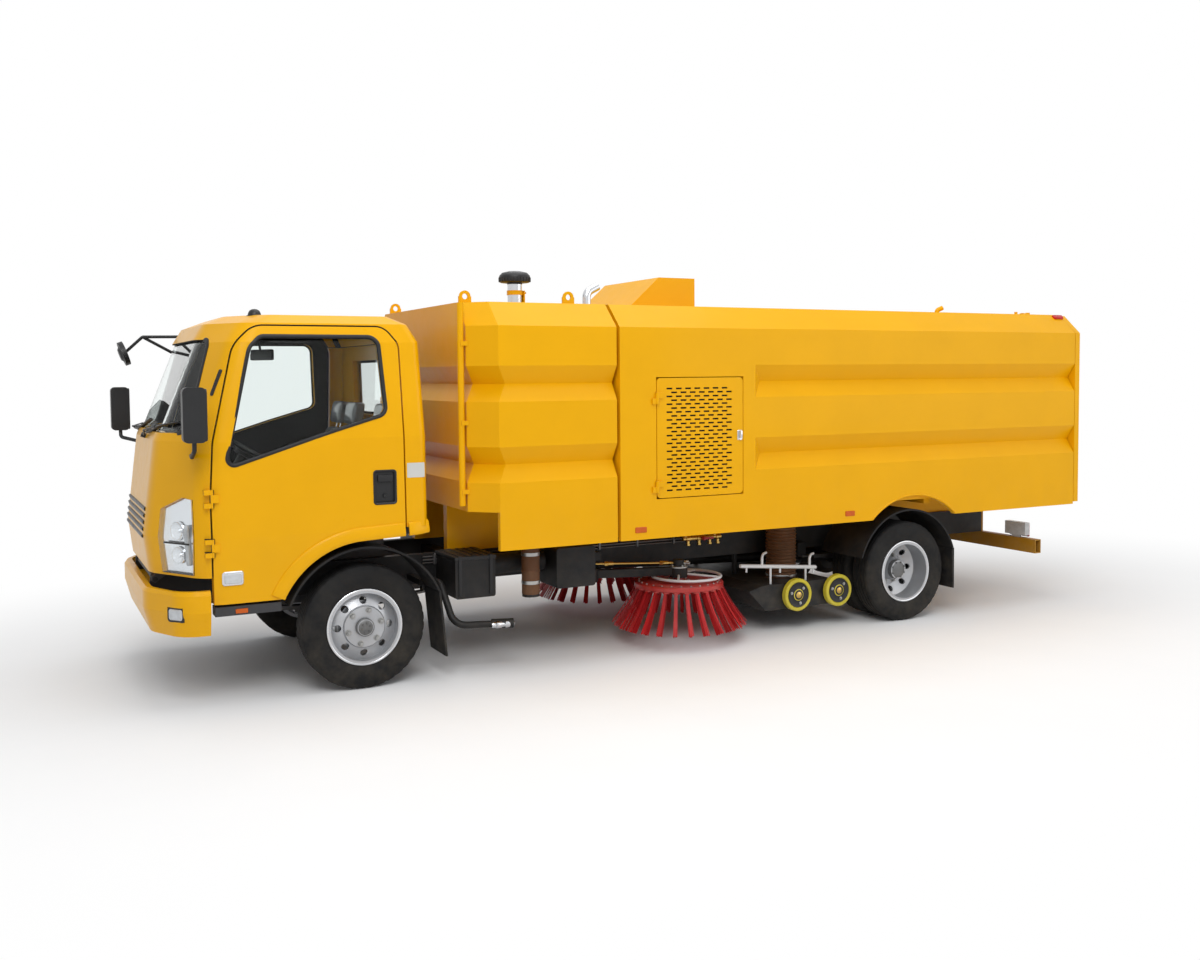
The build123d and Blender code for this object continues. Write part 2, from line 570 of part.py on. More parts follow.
def hopper_floor():
    y = BODY_HALF_WIDTH - HOPPER_SIDE
    plate = block(HOPPER_FRONT, HOPPER_REAR, -y, y, HOPPER_FLOOR, HOPPER_FLOOR + HOPPER_FLOOR_PLATE)
    plate = plate - cylinder_z(SUCTION[0], SUCTION[1], SUCTION_RADIUS - 12, HOPPER_FLOOR - 1, HOPPER_FLOOR + 100)
    hx, hz = TIP_HINGE
    parts = [plate]
    parts += both(block(HOPPER_FRONT + 90, hx - 100, -BEAM_Y[1], -BEAM_Y[0], FRAME_TOP + SEAT, HOPPER_FLOOR))
    lug = block(hx - 60, hx + 60, -388, -362, hz - 10, HOPPER_FLOOR) + cylinder_y(hx, hz, 48, -388, -362)
    parts += both(lug - cylinder_y(hx, hz, 25 + RUNNING, -389, -361))
    ex, ez = CYLINDER_EYE
    for side in (CYLINDER_Y - 41, CYLINDER_Y + 41):
        parts += both(block(ex - 45, ex + 45, -side - 7, -side + 7, ez - 34, HOPPER_FLOOR))
    rear_ribs = [WHEELBASE + d for d in (-475.0, 225.0, 1025.0, 1675.0)]
    for x in [HOPPER_FRONT + 525, SUCTION[0] - 550] + rear_ribs:
        parts += both(block(x - 30, x + 30, -y, -BEAM_Y[1], HOPPER_FLOOR - 50, HOPPER_FLOOR))
    return fuse(parts)


def hopper_bulkheads():
    y = BODY_HALF_WIDTH - HOPPER_SIDE
    floor = HOPPER_FLOOR + HOPPER_FLOOR_PLATE
    top_half, top = BODY_HALF_WIDTH - SHOULDER_INSET - 40, ROOF_Z - HOPPER_ROOF_PLATE
    outline = [(-y, floor), (y, floor), (y, SHOULDER_Z), (top_half, top), (-top_half, top), (-y, SHOULDER_Z)]
    front = cross_prism(outline, HOPPER_FRONT, HOPPER_FRONT + BULKHEAD)
    partition = cross_prism(outline, PARTITION_X, PARTITION_X + BULKHEAD)
    return [front, partition]


def roof_duct():
    """Air outlet on the hopper roof: a box with a sloping front that opens to the rear."""
    half = 450.0
    side = [(2215, ROOF_Z), (2500, 2780), (2826, 2780), (2826, ROOF_Z)]
    duct = side_prism(side, -half, half)
    mouth = block(2720, 2830, -half + 30, half - 30, ROOF_Z + 30, 2750)
    return duct - mouth


def grille_door():
    """Access door with staggered slots, flush in the left wall."""
    gap = DOOR_GAP
    y0 = -BODY_HALF_WIDTH
    x0, x1 = GRILLE_X[0] + gap, GRILLE_X[1] - gap
    z0, z1 = GRILLE_Z[0] + gap, GRILLE_Z[1] - gap
    door = side_prism([(x0, z0), (x1, z0), (x1, z1), (x0, z1)], y0, y0 + GRILLE_DOOR, 30)
    back = block(GRILLE_FIELD_X[0] - 20, GRILLE_FIELD_X[1] + 20, y0 + 6, y0 + GRILLE_DOOR + 1, GRILLE_FIELD_Z[0] - 20,
                 GRILLE_FIELD_Z[1] + 20)
    door = door - back
    pitch_x, pitch_z = GRILLE_PITCH
    long, tall = GRILLE_SLOT
    slots = []
    rows = int((GRILLE_FIELD_Z[1] - GRILLE_FIELD_Z[0]) / pitch_z) + 1
    columns = int((GRILLE_FIELD_X[1] - GRILLE_FIELD_X[0]) / pitch_x)
    for row in range(rows):
        z = GRILLE_FIELD_Z[0] + row * pitch_z
        shift = pitch_x / 2 if row % 2 else 0.0
        for column in range(columns):
            x = GRILLE_FIELD_X[0] + shift + column * pitch_x
            slots.append(Pos(x + long / 2, y0 + 3, z) * Box(long, 20, tall))
    door = door - slots
    hx, hy = GRILLE_HINGE
    for z in GRILLE_HINGES_Z:
        door = door - cylinder_z(hx, -hy, 16, z - 62, z - 20 + SEAT)
        leaf = block(hx + 2, hx + 45, y0 - 16, y0 + 1, z - 20 + SEAT, z + 20)
        knuckle_tube = cylinder_z(hx, -hy, 14, z - 20 + SEAT, z + 20)
        door = fuse([door, leaf, knuckle_tube]) - cylinder_z(hx, -hy, 7 + RUNNING, z - 21, z + 21)
    return door


def tailgate():
    half = BODY_HALF_WIDTH
    x0, x1 = HOPPER_REAR + DOOR_GAP, REAR_END
    low, top = SKIRT_BOTTOM + 20, ROOF_Z - 8
    outline = [(-half, low), (half, low), (half, SHOULDER_Z), (half - SHOULDER_INSET, top),
               (-half + SHOULDER_INSET, top), (-half, SHOULDER_Z)]
    slab = cross_prism(outline, x0, x1 - 30)
    ribs = [block(x1 - 31, x1, -half + 60, half - 60, z - 35, z + 35) for z in (960.0, 1435.0, 1975.0, 2330.0)]
    posts = [block(x1 - 31, x1, y - 35, y + 35, 960, 2330) for y in (-1055.0, 0.0, 1055.0)]
    tx, tz = TAILGATE_HINGE
    lug = [(x0, ROOF_Z - 90), (x1 - 30, ROOF_Z - 90), (x1 - 40, ROOF_Z), (tx + 20, tz + 14), (tx - 4, tz + 18),
           (tx - 16, tz), (x0, ROOF_Z + 2)]
    lugs = []
    for y in (-590.0, 590.0):
        lugs.append(side_prism(lug, y - 16, y + 16) - cylinder_y(tx, tz, 12 + RUNNING, y - 17, y + 17))
    return fuse([slab] + ribs + posts + lugs)


# Cab
CAB_SECTIONS = (
    # height, nose x, half width of the nose, x where the side begins, half width, rear x, nose radius, side radius
    (640.0, -1240.0, 540.0, -985.0, 990.0, 420.0, 260.0, 220.0),
    (1050.0, -1288.0, 540.0, -1000.0, 1008.0, 420.0, 260.0, 220.0),
    (1640.0, -1215.0, 540.0, -960.0, 1000.0, 420.0, 260.0, 200.0),
    (2250.0, -972.0, 540.0, -780.0, 920.0, 405.0, 240.0, 170.0),
    (2370.0, -900.0, 520.0, -700.0, 872.0, 345.0, 220.0, 160.0),
    (2425.0, -760.0, 440.0, -560.0, 780.0, 240.0, 200.0, 140.0),
)


def cab_volume(inset):
    """Outer form of the cab, or its inside when inset is more than zero."""
    faces = []
    last = len(CAB_SECTIONS) - 1
    for i, (z, nose, nose_half, side_x, half, rear, nose_r, side_r) in enumerate(CAB_SECTIONS):
        if i == 0 and inset:
            z -= 1
        if i == last:
            z -= inset
        x0, x1, x2, y = nose + inset, side_x + inset * 0.6, rear - inset, half - inset
        ring = [(x2, -y, z), (x1, -y, z), (x0, -nose_half, z), (x0, nose_half, z), (x1, y, z), (x2, y, z)]
        radii = [60, side_r, nose_r, nose_r, side_r, 60]
        faces.append(make_face(FilletPolyline(*ring, radius=radii, close=True)))
    return loft(faces, ruled=True)


DOOR_OUTLINE = ((-950.0, 640.0), (-955.0, 1300.0), (-935.0, 1640.0), (-790.0, 2235.0), (-660.0, 2360.0),
                (175.0, 2360.0), (262.0, 2240.0), (272.0, 640.0))
DOOR_RADII = (4.0, 200.0, 200.0, 220.0, 160.0, 120.0, 120.0, 4.0)
WINDOW_OUTLINE = ((-862.0, 1480.0), (-690.0, 2215.0), (-620.0, 2285.0), (120.0, 2285.0), (150.0, 1790.0),
                  (40.0, 1760.0), (-200.0, 1690.0))
WINDOW_RADII = (40.0, 120.0, 60.0, 70.0, 60.0, 200.0, 400.0)
WINDSCREEN = (1690.0, 2270.0, 800.0, 690.0)   # lower and upper edge, half width below and above
REAR_WINDOW = (1750.0, 2150.0, 520.0)
DOOR_HINGES_Z = (1000.0, 1300.0)
DOOR_SWEEP = 128.0                            # radius about the hinge line


def offset_outline(points, radii, grow, y0, y1):
    """Side-view outline with rounded corners, grown or shrunk all round."""
    wire = FilletPolyline(*[(x, 0, z) for x, z in points], radius=list(radii), close=True)
    face = make_face(wire)
    if grow:
        flat = Plane.XZ.to_local_coords(face)
        grown = offset(flat, amount=grow)
        face = Plane.XZ * grown
    return extrude(Pos(0, y0, 0) * face, amount=y1 - y0, dir=(0, 1, 0))


def door_hinge(z):
    """Half of a door hinge that stays on the cab, half that swings with the door, and the door's bore."""
    x, y = DOOR_HINGE
    radius, pin = 8.0, 4.0
    fixed = cylinder_z(x, -y, pin, z - 55, z + 55)
    for low in (z - 55, z + 25 + SEAT):
        high = low + 30 - SEAT
        fixed = fixed + cylinder_z(x, -y, radius, low, high) + block(x - 45, x, -y - 4, -y + 36, low, high)
    moving = cylinder_z(x, -y, radius, z - 25, z + 25) + block(x, x + 40, -y - 4, -y + 14, z - 25, z + 25)
    return fixed, moving, cylinder_z(x, -y, pin + RUNNING, z - 26, z + 26)


def door_sweep():
    """Room that the front edge of an opening door needs inside the cab, on both sides."""
    x, y = DOOR_HINGE
    return both(cylinder_z(x, -y, DOOR_SWEEP, 700, 1700))


def arch_cutter():
    wheel = cylinder_y(0, AXLE_Z, ARCH_RADIUS, -1100, 1100)
    behind = block(0, 600, -1100, 1100, 0, CAB_REAR_EDGE)
    nose = block(-1500, -944, -1100, 1100, 0, PANEL_BOTTOM)
    return wheel + behind + nose


def windscreen_cutter():
    low, high, wide, narrow = WINDSCREEN
    corners = [(-1400, -wide, low), (-1400, wide, low), (-1400, narrow, high), (-1400, -narrow, high)]
    return extrude(make_face(FilletPolyline(*corners, radius=60, close=True)), amount=760, dir=(1, 0, 0))


def rear_window_cutter():
    low, high, half = REAR_WINDOW
    return block(200, 500, -half, half, low, high)


def cab_pieces():
    outer = cab_volume(0.0)
    inner = cab_volume(CAB_WALL)
    wall = outer - inner - arch_cutter()
    layer = cab_volume(GLASS_SET_BACK) - cab_volume(GLASS_SET_BACK + GLASS)
    door_space = offset_outline(DOOR_OUTLINE, DOOR_RADII, 0, -1100, -700)
    door_body = offset_outline(DOOR_OUTLINE, DOOR_RADII, -CAB_DOOR_GAP, -1100, -700)
    window = offset_outline(WINDOW_OUTLINE, WINDOW_RADII, 0, -1100, -700)
    door = (wall & door_body) - window
    door_glass = layer & window
    door = door - block(60, 195, -1030, -990, 1215, 1420)   # handle recess
    shell = wall - door_space - right_hand(door_space)
    screen = windscreen_cutter()
    back = rear_window_cutter()
    shell = shell - screen - back
    glass = [(layer & screen), (layer & back)]
    roof_line, front_line, rear_line = 2262.0, -700.0, 200.0
    roof = shell & block(-1500, 600, -1200, 1200, roof_line, 2600)
    lower = shell & block(-1500, 600, -1200, 1200, 0, roof_line)
    front = lower & block(-1500, front_line, -1200, 1200, 0, 3000)
    for lamp in headlamps():
        front = front - lamp
    for z in DOOR_HINGES_Z:
        fixed, moving, bore = door_hinge(z)
        front = fuse([front] + both(fixed))
        door = fuse([door, moving]) - bore
    rear = lower & block(rear_line, 600, -1200, 1200, 0, 3000)
    return {"front": front, "rear": rear, "roof": roof, "door": door, "door_glass": door_glass, "glass": glass}


def cab_floor():
    """Stepped floor: footwell ahead of the wheels, raised floor over them, with sills under the doors."""
    half = 1000.0
    steps = [(-1300, 800), (-560, 800), (-560, 1000), (420, 1000), (420, 1050), (-610, 1050), (-610, 845),
             (-1300, 845)]
    floor = side_prism(steps, -half, half) & cab_volume(CAB_WALL + 0.5)
    sills = both(block(-850, -600, -915, -858, 630, 802) + block(-935, -540, -975, -858, 575, 632))
    px, pz = CAB_PIVOT
    ears = []
    outline = [(px + 44, 822), (px - 22, pz + 16), (px - 22, pz - 10), (px, pz - 24), (px + 24, pz - 6), (-1130, 800),
               (-1130, 822)]
    for y in (455.0, 485.0):
        ear = side_prism(outline, -y - 8, -y + 8) - cylinder_y(px, pz, 16 + RUNNING, -y - 9, -y + 9)
        ears += both(ear)
    return fuse([floor] + sills + ears) - door_sweep()


def headlamps():
    """Tall lamp units let into the corners of the front panel, following its curve."""
    layer = cab_volume(-4.0) - cab_volume(24.0)
    zone = side_prism([(-1400, 830), (-1045, 830), (-1045, 1290), (-1090, 1300), (-1400, 1080)], -1100, -600)
    lamp = layer & zone & block(-1400, -1000, -1100, -660, 0, 2000)
    return both(lamp)


def seats():
    made = []
    for y in (-560.0, 380.0):
        half = 250.0 if y < 0 else 420.0
        base = side_prism([(-420, 1050.3), (180, 1050.3), (180, 1150), (-440, 1190)], y - half, y + half, 30)
        back = side_prism([(30, 1130), (185, 1110), (290, 1640), (180, 1660)], y - half, y + half, 34)
        rest = side_prism([(205, 1680), (290, 1670), (315, 1840), (235, 1850)], y - 140, y + 140, 26)
        stem = block(240, 262, y - 30, y + 30, 1600, 1720)
        made.append(fuse([base, back, rest, stem]))
    return made


def dashboard():
    half = 930.0
    outline = [(-1230, 1180), (-840, 1180), (-760, 1330), (-800, 1440), (-1010, 1530), (-1120, 1560), (-1230, 1500)]
    panel = side_prism(outline, -half, half, 30) & cab_volume(CAB_WALL + 0.5)
    return panel - door_sweep() - steering_wheel()


def steering_wheel():
    centre = (-660.0, -560.0, 1560.0)
    lean = -32.0
    spokes = [Rot(0, 0, a) * Pos(100, 0, -8) * Box(200, 34, 14) for a in (0, 120, 240)]
    hub = Pos(0, 0, -20) * Cylinder(60, 40)
    column = Pos(0, 0, -150) * Cylinder(26, 260)
    return Pos(*centre) * Rot(0, -lean, 0) * fuse([Torus(205, 15), hub, column] + spokes)


def mirrors():
    """Door mirrors on bent arms, the kerb mirror on its tripod, and the inside mirror."""
    left_head = side_prism([(-1122, 1650), (-990, 1650), (-990, 1975), (-1122, 1975)], -1190, -1110, 30)
    left_path = [(-1040, -890, 1560), (-1060, -1060, 1560), (-1056, -1140, 1600), (-1056, -1146, 1655)]
    left_arm = bent_tube(left_path, 13, [60, 30])
    right_head = side_prism([(-1325, 1640), (-1200, 1640), (-1200, 1965), (-1325, 1965)], 1130, 1210, 30)
    right_path = [(-1020, 870, 1560), (-1150, 1060, 1560), (-1262, 1150, 1590), (-1262, 1166, 1645)]
    right_arm = bent_tube(right_path, 13, [60, 30])
    knob = (-1255.0, 800.0, 2210.0)
    kerb = Pos(*knob) * Rot(0, 70, 0) * (Cylinder(88, 34) + Pos(0, 0, -17) * Cone(40, 80, 30))
    tips = [(-840.0, 660.0, 2330.0), (-880.0, 780.0, 2190.0)]
    apex = (-1130.0, 760.0, 2330.0)
    stays = [rod(tips[0], apex, 11), rod(tips[1], apex, 11), rod(apex, knob, 11)]
    cab = cab_volume(0.0)
    return [fuse(group) - cab for group in ([left_head, left_arm], [right_head, right_arm], [kerb] + stays)]


# Running gear
RIM_PROFILE = ((-98, 222), (-98, 248), (-90, 248), (-90, RIM_RADIUS), (90, RIM_RADIUS), (90, 248), (98, 248),
               (98, 222))
HAND_HOLES = 8
HAND_HOLE_CIRCLE = 172.0
HAND_HOLE_RADIUS = 24.0


def tyre(x, y):
    half = TYRE_WIDTH / 2
    bead, shoulder = 79.0, 90.0
    inner = RIM_RADIUS + SEAT
    left = ThreePointArc((0, y - bead, inner), (0, y - half, inner + 88), (0, y - shoulder, TYRE_RADIUS - 8))
    right = ThreePointArc((0, y + bead, inner), (0, y + half, inner + 88), (0, y + shoulder, TYRE_RADIUS - 8))
    tread = Polyline(left @ 1, (0, y - shoulder + 12, TYRE_RADIUS), (0, y + shoulder - 12, TYRE_RADIUS), right @ 1)
    bore = Line(left @ 0, right @ 0)
    return Pos(x, 0, AXLE_Z) * revolve(make_face([left, right, tread, bore]), axis=Axis.Y)


def hand_holes(x, y0, y1):
    holes = []
    for i in range(HAND_HOLES):
        angle = 2 * pi * i / HAND_HOLES
        spot = (x + HAND_HOLE_CIRCLE * cos(angle), AXLE_Z + HAND_HOLE_CIRCLE * sin(angle))
        holes.append(cylinder_y(*spot, HAND_HOLE_RADIUS, y0, y1))
    return holes


def front_wheel():
    y = -FRONT_WHEEL_Y
    rim = spun(RIM_PROFILE, 0, y, AXLE_Z)
    dish = [(20, 224), (32, 224), (72, 140), (84, 132), (84, 0), (72, 0), (72, 128), (62, 134)]
    disc = spun(dish, 0, y, AXLE_Z)
    for hole in hand_holes(0, y - 120, y + 20):
        disc = disc - hole
    hub = spun([(-40, 0), (-40, 165), (20, 165), (20, 90), (73, 90), (73, 0)], 0, y, AXLE_Z)
    cap = spun([(83, 0), (83, 58), (112, 52), (118, 0)], 0, y, AXLE_Z)
    wheel = fuse([rim, disc, hub, cap])
    return wheel - cylinder_y(0, AXLE_Z, 30 + RUNNING, y + 60, y - 60)


def rear_wheels():
    y = -DUAL_Y
    half = DUAL_SPACING / 2
    outer = spun([(half + s, r) for s, r in RIM_PROFILE], WHEELBASE, y, AXLE_Z)
    inner = spun([(-half + s, r) for s, r in RIM_PROFILE], WHEELBASE, y, AXLE_Z)
    disc = spun([(8, 0), (8, 140), (60, 224), (74, 224), (22, 132), (20, 0)], WHEELBASE, y, AXLE_Z)
    twin = spun([(-8, 0), (-8, 140), (-60, 224), (-74, 224), (-22, 132), (-20, 0)], WHEELBASE, y, AXLE_Z)
    core = [(-120, 0), (-120, 165), (-30, 165), (-30, 95), (60, 95), (100, 80), (140, 76), (140, 0)]
    hub = spun(core, WHEELBASE, y, AXLE_Z)
    wheel = fuse([outer, inner, disc, twin, hub])
    for hole in hand_holes(WHEELBASE, y - 100, y + 100):
        wheel = wheel - hole
    return wheel - cylinder_y(WHEELBASE, AXLE_Z, 45 + RUNNING, y + 200, y - 131)


def knuckle():
    """Fork about the king pin with the wheel's spindle and the steering arm."""
    plate = block(-60, 60, -KINGPIN_Y - 68, -KINGPIN_Y - 47, AXLE_Z - 95, AXLE_Z + 95)
    arms = [block(-40, 40, -KINGPIN_Y - 50, -KINGPIN_Y + 34, z, z + 30) for z in (AXLE_Z - 95, AXLE_Z + 65)]
    pin = cylinder_z(0, -KINGPIN_Y, 20, AXLE_Z - 95, AXLE_Z + 95)
    spindle = cylinder_y(0, AXLE_Z, 30, -KINGPIN_Y - 60, -FRONT_WHEEL_Y - 55)
    return fuse([plate, pin, spindle] + arms)


# Brooms
ARM_Z = (500.0, 560.0)


def broom_arm():
    """Arm from the pivot post to the broom's motor, with the guard hoop over the brush."""
    px, py = BROOM_POST
    bx, by = BROOM
    boss = rod(on_post(ARM_Z[0] - 20), on_post(ARM_Z[1] + 20), 62)
    reach = Vector(bx - px, py - by)
    side = Vector(-reach.Y, reach.X).normalized() * 32
    spots = [(px + side.X, -py + side.Y), (bx + side.X, -by + side.Y), (bx - side.X, -by - side.Y),
             (px - side.X, -py - side.Y)]
    plan = make_face(Polyline(*[(x, y, ARM_Z[0]) for x, y in spots], close=True))
    beam = extrude(plan, amount=ARM_Z[1] - ARM_Z[0], dir=(0, 0, 1))
    motor = cylinder_z(bx, -by, 68, BROOM_DISC_Z + BROOM_DISC + 24, 560) + cylinder_z(bx, -by, 44, 560, 615)
    hx, hz, hoop_radius = bx + 70, 486, 262
    hoop = Pos(hx, -by, hz) * Torus(hoop_radius, 9)
    struts = []
    for angle in (45, 135, 225, 315):
        end = (hx + hoop_radius * cos(radians(angle)), -by + hoop_radius * sin(radians(angle)), hz)
        struts.append(rod((bx, -by, 510), end, 7))
    arm = fuse([boss, beam, motor, hoop] + struts)
    return arm - rod(on_post(400), on_post(700), POST_RADIUS + RUNNING)


def broom():
    """Brush: a disc with flat bristle bundles that splay to the tips."""
    bx, by = BROOM
    disc = cylinder_z(0, 0, BROOM_DISC_RADIUS, BROOM_DISC_Z, BROOM_DISC_Z + BROOM_DISC)
    spindle = cylinder_z(0, 0, 40, BROOM_DISC_Z + BROOM_DISC, BROOM_DISC_Z + BROOM_DISC + 24 - SEAT)
    tuft = side_prism([(BROOM_DISC_RADIUS - 58, BROOM_DISC_Z + 6), (BROOM_DISC_RADIUS - 4, BROOM_DISC_Z + 6),
                       (BROOM_TIP_RADIUS, BROOM_TIP_Z + 26), (BROOM_TIP_RADIUS - 70, BROOM_TIP_Z)], -21, 21)
    tufts = [Rot(0, 0, 360.0 * i / BROOM_TUFTS) * tuft for i in range(BROOM_TUFTS)]
    return Pos(bx, -by, 0) * fuse([disc, spindle] + tufts)


# Suction head
def pickup_head():
    """Open-bottomed suction box with its guide posts and the stub axles of its wheels."""
    x0, x1, wall = PICKUP_FRONT, PICKUP_REAR, 24
    low, top, shoulder = PICKUP_BOTTOM, PICKUP_TOP, 320
    outline = [(x0 + 160, low), (x1, low), (x1, shoulder), (x1 - 110, top), (x0 + 130, top), (x0, 345)]
    inside = [(x0 + 160 + wall, low - 1), (x1 - wall, low - 1), (x1 - wall, shoulder - wall), (x1 - 120, top - wall),
              (x0 + 140, top - wall), (x0 + 60, 338)]
    half = PICKUP_HALF_WIDTH
    head = side_prism(outline, -half, half) - side_prism(inside, -half + wall, half - wall)
    head = head - cylinder_z(*SUCTION, SUCTION_RADIUS - 12, top - 2 * wall, top + 1)
    parts = [head]
    for x in GUIDE_X:
        parts += both(cylinder_z(x, -GUIDE_Y, GUIDE_RADIUS, PICKUP_TOP - 12, 790))
    for x in PICKUP_WHEELS_X:
        parts += both(cylinder_y(x, PICKUP_WHEEL_Z, 18, -half + 10, -half - 62))
    return fuse(parts)


def pickup_wheel(x):
    y = -PICKUP_HALF_WIDTH - 32
    profile = [(-25, 0), (-25, 40), (-18, 60), (-18, 96), (-25, 104), (-25, 122), (-19, PICKUP_WHEEL_RADIUS),
               (19, PICKUP_WHEEL_RADIUS), (25, 122), (25, 104), (16, 96), (16, 60), (25, 40), (25, 0)]
    wheel = spun(profile, x, y, PICKUP_WHEEL_Z)
    return wheel - cylinder_y(x, PICKUP_WHEEL_Z, 18 + RUNNING, y - 60, y + 60)


def spray_bar():
    """White water pipe along the head with its feed bends and nozzles."""
    y = -860.0
    x0, x1 = [PICKUP_FRONT + d * PICKUP_SCALE for d in (-55.0, 670.0)]
    z0, z1 = 545.0, 478.0

    def height(x):
        return z0 + (z1 - z0) * (x - x0) / (x1 - x0)
    parts = [rod((x0, y, z0), (x1, y, z1), 15)]
    for share in (0.08, 0.52, 0.97):
        x = x0 + (x1 - x0) * share
        parts.append(rod((x, y, height(x)), (x, y, height(x) - 48), 8))
    for d in (150.0, 610.0):
        x = PICKUP_FRONT + d * PICKUP_SCALE
        z = height(x)
        parts.append(bent_tube([(x, y, z), (x, y, z + 95), (x + 60, y + 30, z + 100)], 10, 38))
    for d in (230.0, 570.0):
        x = PICKUP_FRONT + d * PICKUP_SCALE
        parts.append(rod((x, y, height(x)), (x, y, PICKUP_TOP), 9))
    return fuse(parts)


# Tipping cylinders
def lift_cylinders():
    """Barrels pinned to the frame and rods that reach the hopper floor."""
    (bx, bz), (ex, ez) = CYLINDER_BASE, CYLINDER_EYE
    run = Vector(ex - bx, 0, ez - bz)
    along = run.normalized()
    y = -CYLINDER_Y

    def on_line(distance):
        return (bx + along.X * distance, y, bz + along.Z * distance)
    eye = cylinder_y(bx, bz, 38, y - 30, y + 30) - cylinder_y(bx, bz, 20 + RUNNING, y - 31, y + 31)
    barrel = eye + (rod(on_line(34), on_line(820), 48) - rod(on_line(70), on_line(821), 30 + RUNNING))
    eye = cylinder_y(ex, ez, 34, y - 28, y + 28) - cylinder_y(ex, ez, 21, y - 29, y + 29)
    piston = eye + rod(on_line(80), on_line(run.length - 30), 30)
    return both(barrel), both(piston)


def build():
    add("frame_rails", *frame_rails())
    add("crossmembers", *crossmembers())
    add("frame_brackets", *frame_brackets())
    add("leaf_springs", *springs())
    add("front_axle", front_axle())
    add("rear_axle", *rear_axle())
    add("engines", *engines())
    add("chassis_boxes", *chassis_boxes())
    add("front_bumper", front_bumper())
    add("mudguards", *mudguards())
    add("rear_bar", rear_bar())
    add("tail_lamps", *tail_lamps())
    add("front_module", front_module())
    add("service_eyes", *service_eyes())
    add("roof_pipes", *roof_pipes())
    add("spray_nozzles", *spray_nozzles())
    add("suction_hose", suction_hose())
    add("hopper_sides", hopper_side(True), right_hand(hopper_side(False)))
    add("hopper_roof", hopper_roof())
    add("hopper_floor", hopper_floor())
    add("hopper_bulkheads", *hopper_bulkheads())
    add("roof_duct", roof_duct())
    add("grille_door", grille_door())
    add("tailgate", tailgate())
    cab = cab_pieces()
    add("cab_front", cab["front"])
    add("cab_rear", cab["rear"])
    add("cab_roof", cab["roof"])
    add("cab_floor", cab_floor())
    add("cab_glass", *cab["glass"])
    for name, turn in (("left", lambda s: s), ("right", right_hand)):
        add(f"door_{name}", turn(cab["door"]))
        add(f"door_glass_{name}", turn(cab["door_glass"]))
        add(f"knuckle_{name}", turn(knuckle()))
        add(f"wheel_front_{name}", turn(front_wheel()))
        add(f"tyre_front_{name}", turn(tyre(0, -FRONT_WHEEL_Y)))
        add(f"wheels_rear_{name}", turn(rear_wheels()))
        add(f"tyres_rear_{name}", *[turn(tyre(WHEELBASE, -DUAL_Y + s * DUAL_SPACING / 2)) for s in (-1, 1)])
        add(f"broom_arm_{name}", turn(broom_arm()))
        add(f"broom_{name}", turn(broom()))
        for place, x in zip(("front", "rear"), PICKUP_WHEELS_X):
            add(f"pickup_wheel_{place}_{name}", turn(pickup_wheel(x)))
    add("headlamps", *headlamps())
    add("seats", *seats())
    add("dashboard", dashboard())
    add("steering_wheel", steering_wheel())
    add("mirrors", *mirrors())
    add("pickup_head", pickup_head())
    add("spray_bar", spray_bar())
    barrels, rods = lift_cylinders()
    add("lift_barrels", *barrels)
    add("lift_rods", *rods)


build()
os.makedirs("parts", exist_ok=True)
for name, shapes in pieces.items():
    moved = [Pos(ORIGIN_SHIFT, 0, 0) * shape for shape in shapes]
    solids = [solid for shape in moved for solid in shape.solids()]
    export_step(Compound(children=solids) if len(solids) > 1 else solids[0], f"parts/{name}.step")
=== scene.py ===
"""Street sweeper truck: materials, trim and the photograph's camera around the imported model."""

import json
import random
from math import atan2, cos, radians, sin, tan, tau

import bmesh
import bpy
from mathutils import Matrix, Vector
from mathutils.bvhtree import BVHTree


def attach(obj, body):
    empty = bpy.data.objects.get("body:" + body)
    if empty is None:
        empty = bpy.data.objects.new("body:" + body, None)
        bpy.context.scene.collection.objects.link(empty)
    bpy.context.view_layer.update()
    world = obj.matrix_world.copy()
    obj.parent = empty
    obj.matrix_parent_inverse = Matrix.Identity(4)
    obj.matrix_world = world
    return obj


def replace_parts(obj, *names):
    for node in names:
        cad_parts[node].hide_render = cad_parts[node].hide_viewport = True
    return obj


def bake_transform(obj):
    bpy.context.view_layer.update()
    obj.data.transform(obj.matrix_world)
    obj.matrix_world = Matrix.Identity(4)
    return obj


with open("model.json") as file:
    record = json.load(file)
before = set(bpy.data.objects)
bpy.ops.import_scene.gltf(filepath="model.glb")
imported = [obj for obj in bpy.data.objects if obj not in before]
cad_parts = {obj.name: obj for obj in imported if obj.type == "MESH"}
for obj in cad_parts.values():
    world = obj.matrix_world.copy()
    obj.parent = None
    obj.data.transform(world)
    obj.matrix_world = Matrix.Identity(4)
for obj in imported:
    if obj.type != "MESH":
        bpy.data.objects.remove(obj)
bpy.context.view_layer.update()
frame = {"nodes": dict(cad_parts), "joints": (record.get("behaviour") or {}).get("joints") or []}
nodes = frame["nodes"]
joints = {joint["name"]: joint for joint in frame["joints"]}
random.seed(7)

MM = 0.001
AXLE_X = joints["steer_left"]["pos_m"][0]
REAR_AXLE = (joints["wheels_rear_left_spin"]["pos_m"][0] - AXLE_X) / MM    # station in millimetres
SIDES = (("left", -1), ("right", 1))
UP = Vector((0, 0, 1))
REARWARD = Vector((1, 0, 0))
OUTSIDE = 1400.0     # millimetres from the centre plane where rays towards a side start
AHEAD = -2000.0      # station where rays towards the cab's front start


def at(x, y, z):
    """Point in metres from millimetres behind the front axle, to the right and above the ground."""
    return Vector((AXLE_X + x * MM, y * MM, z * MM))


# Materials
def new_material(name):
    material = bpy.data.materials.new(name)
    material.use_nodes = True
    tree = material.node_tree
    return material, tree, tree.nodes["Principled BSDF"]


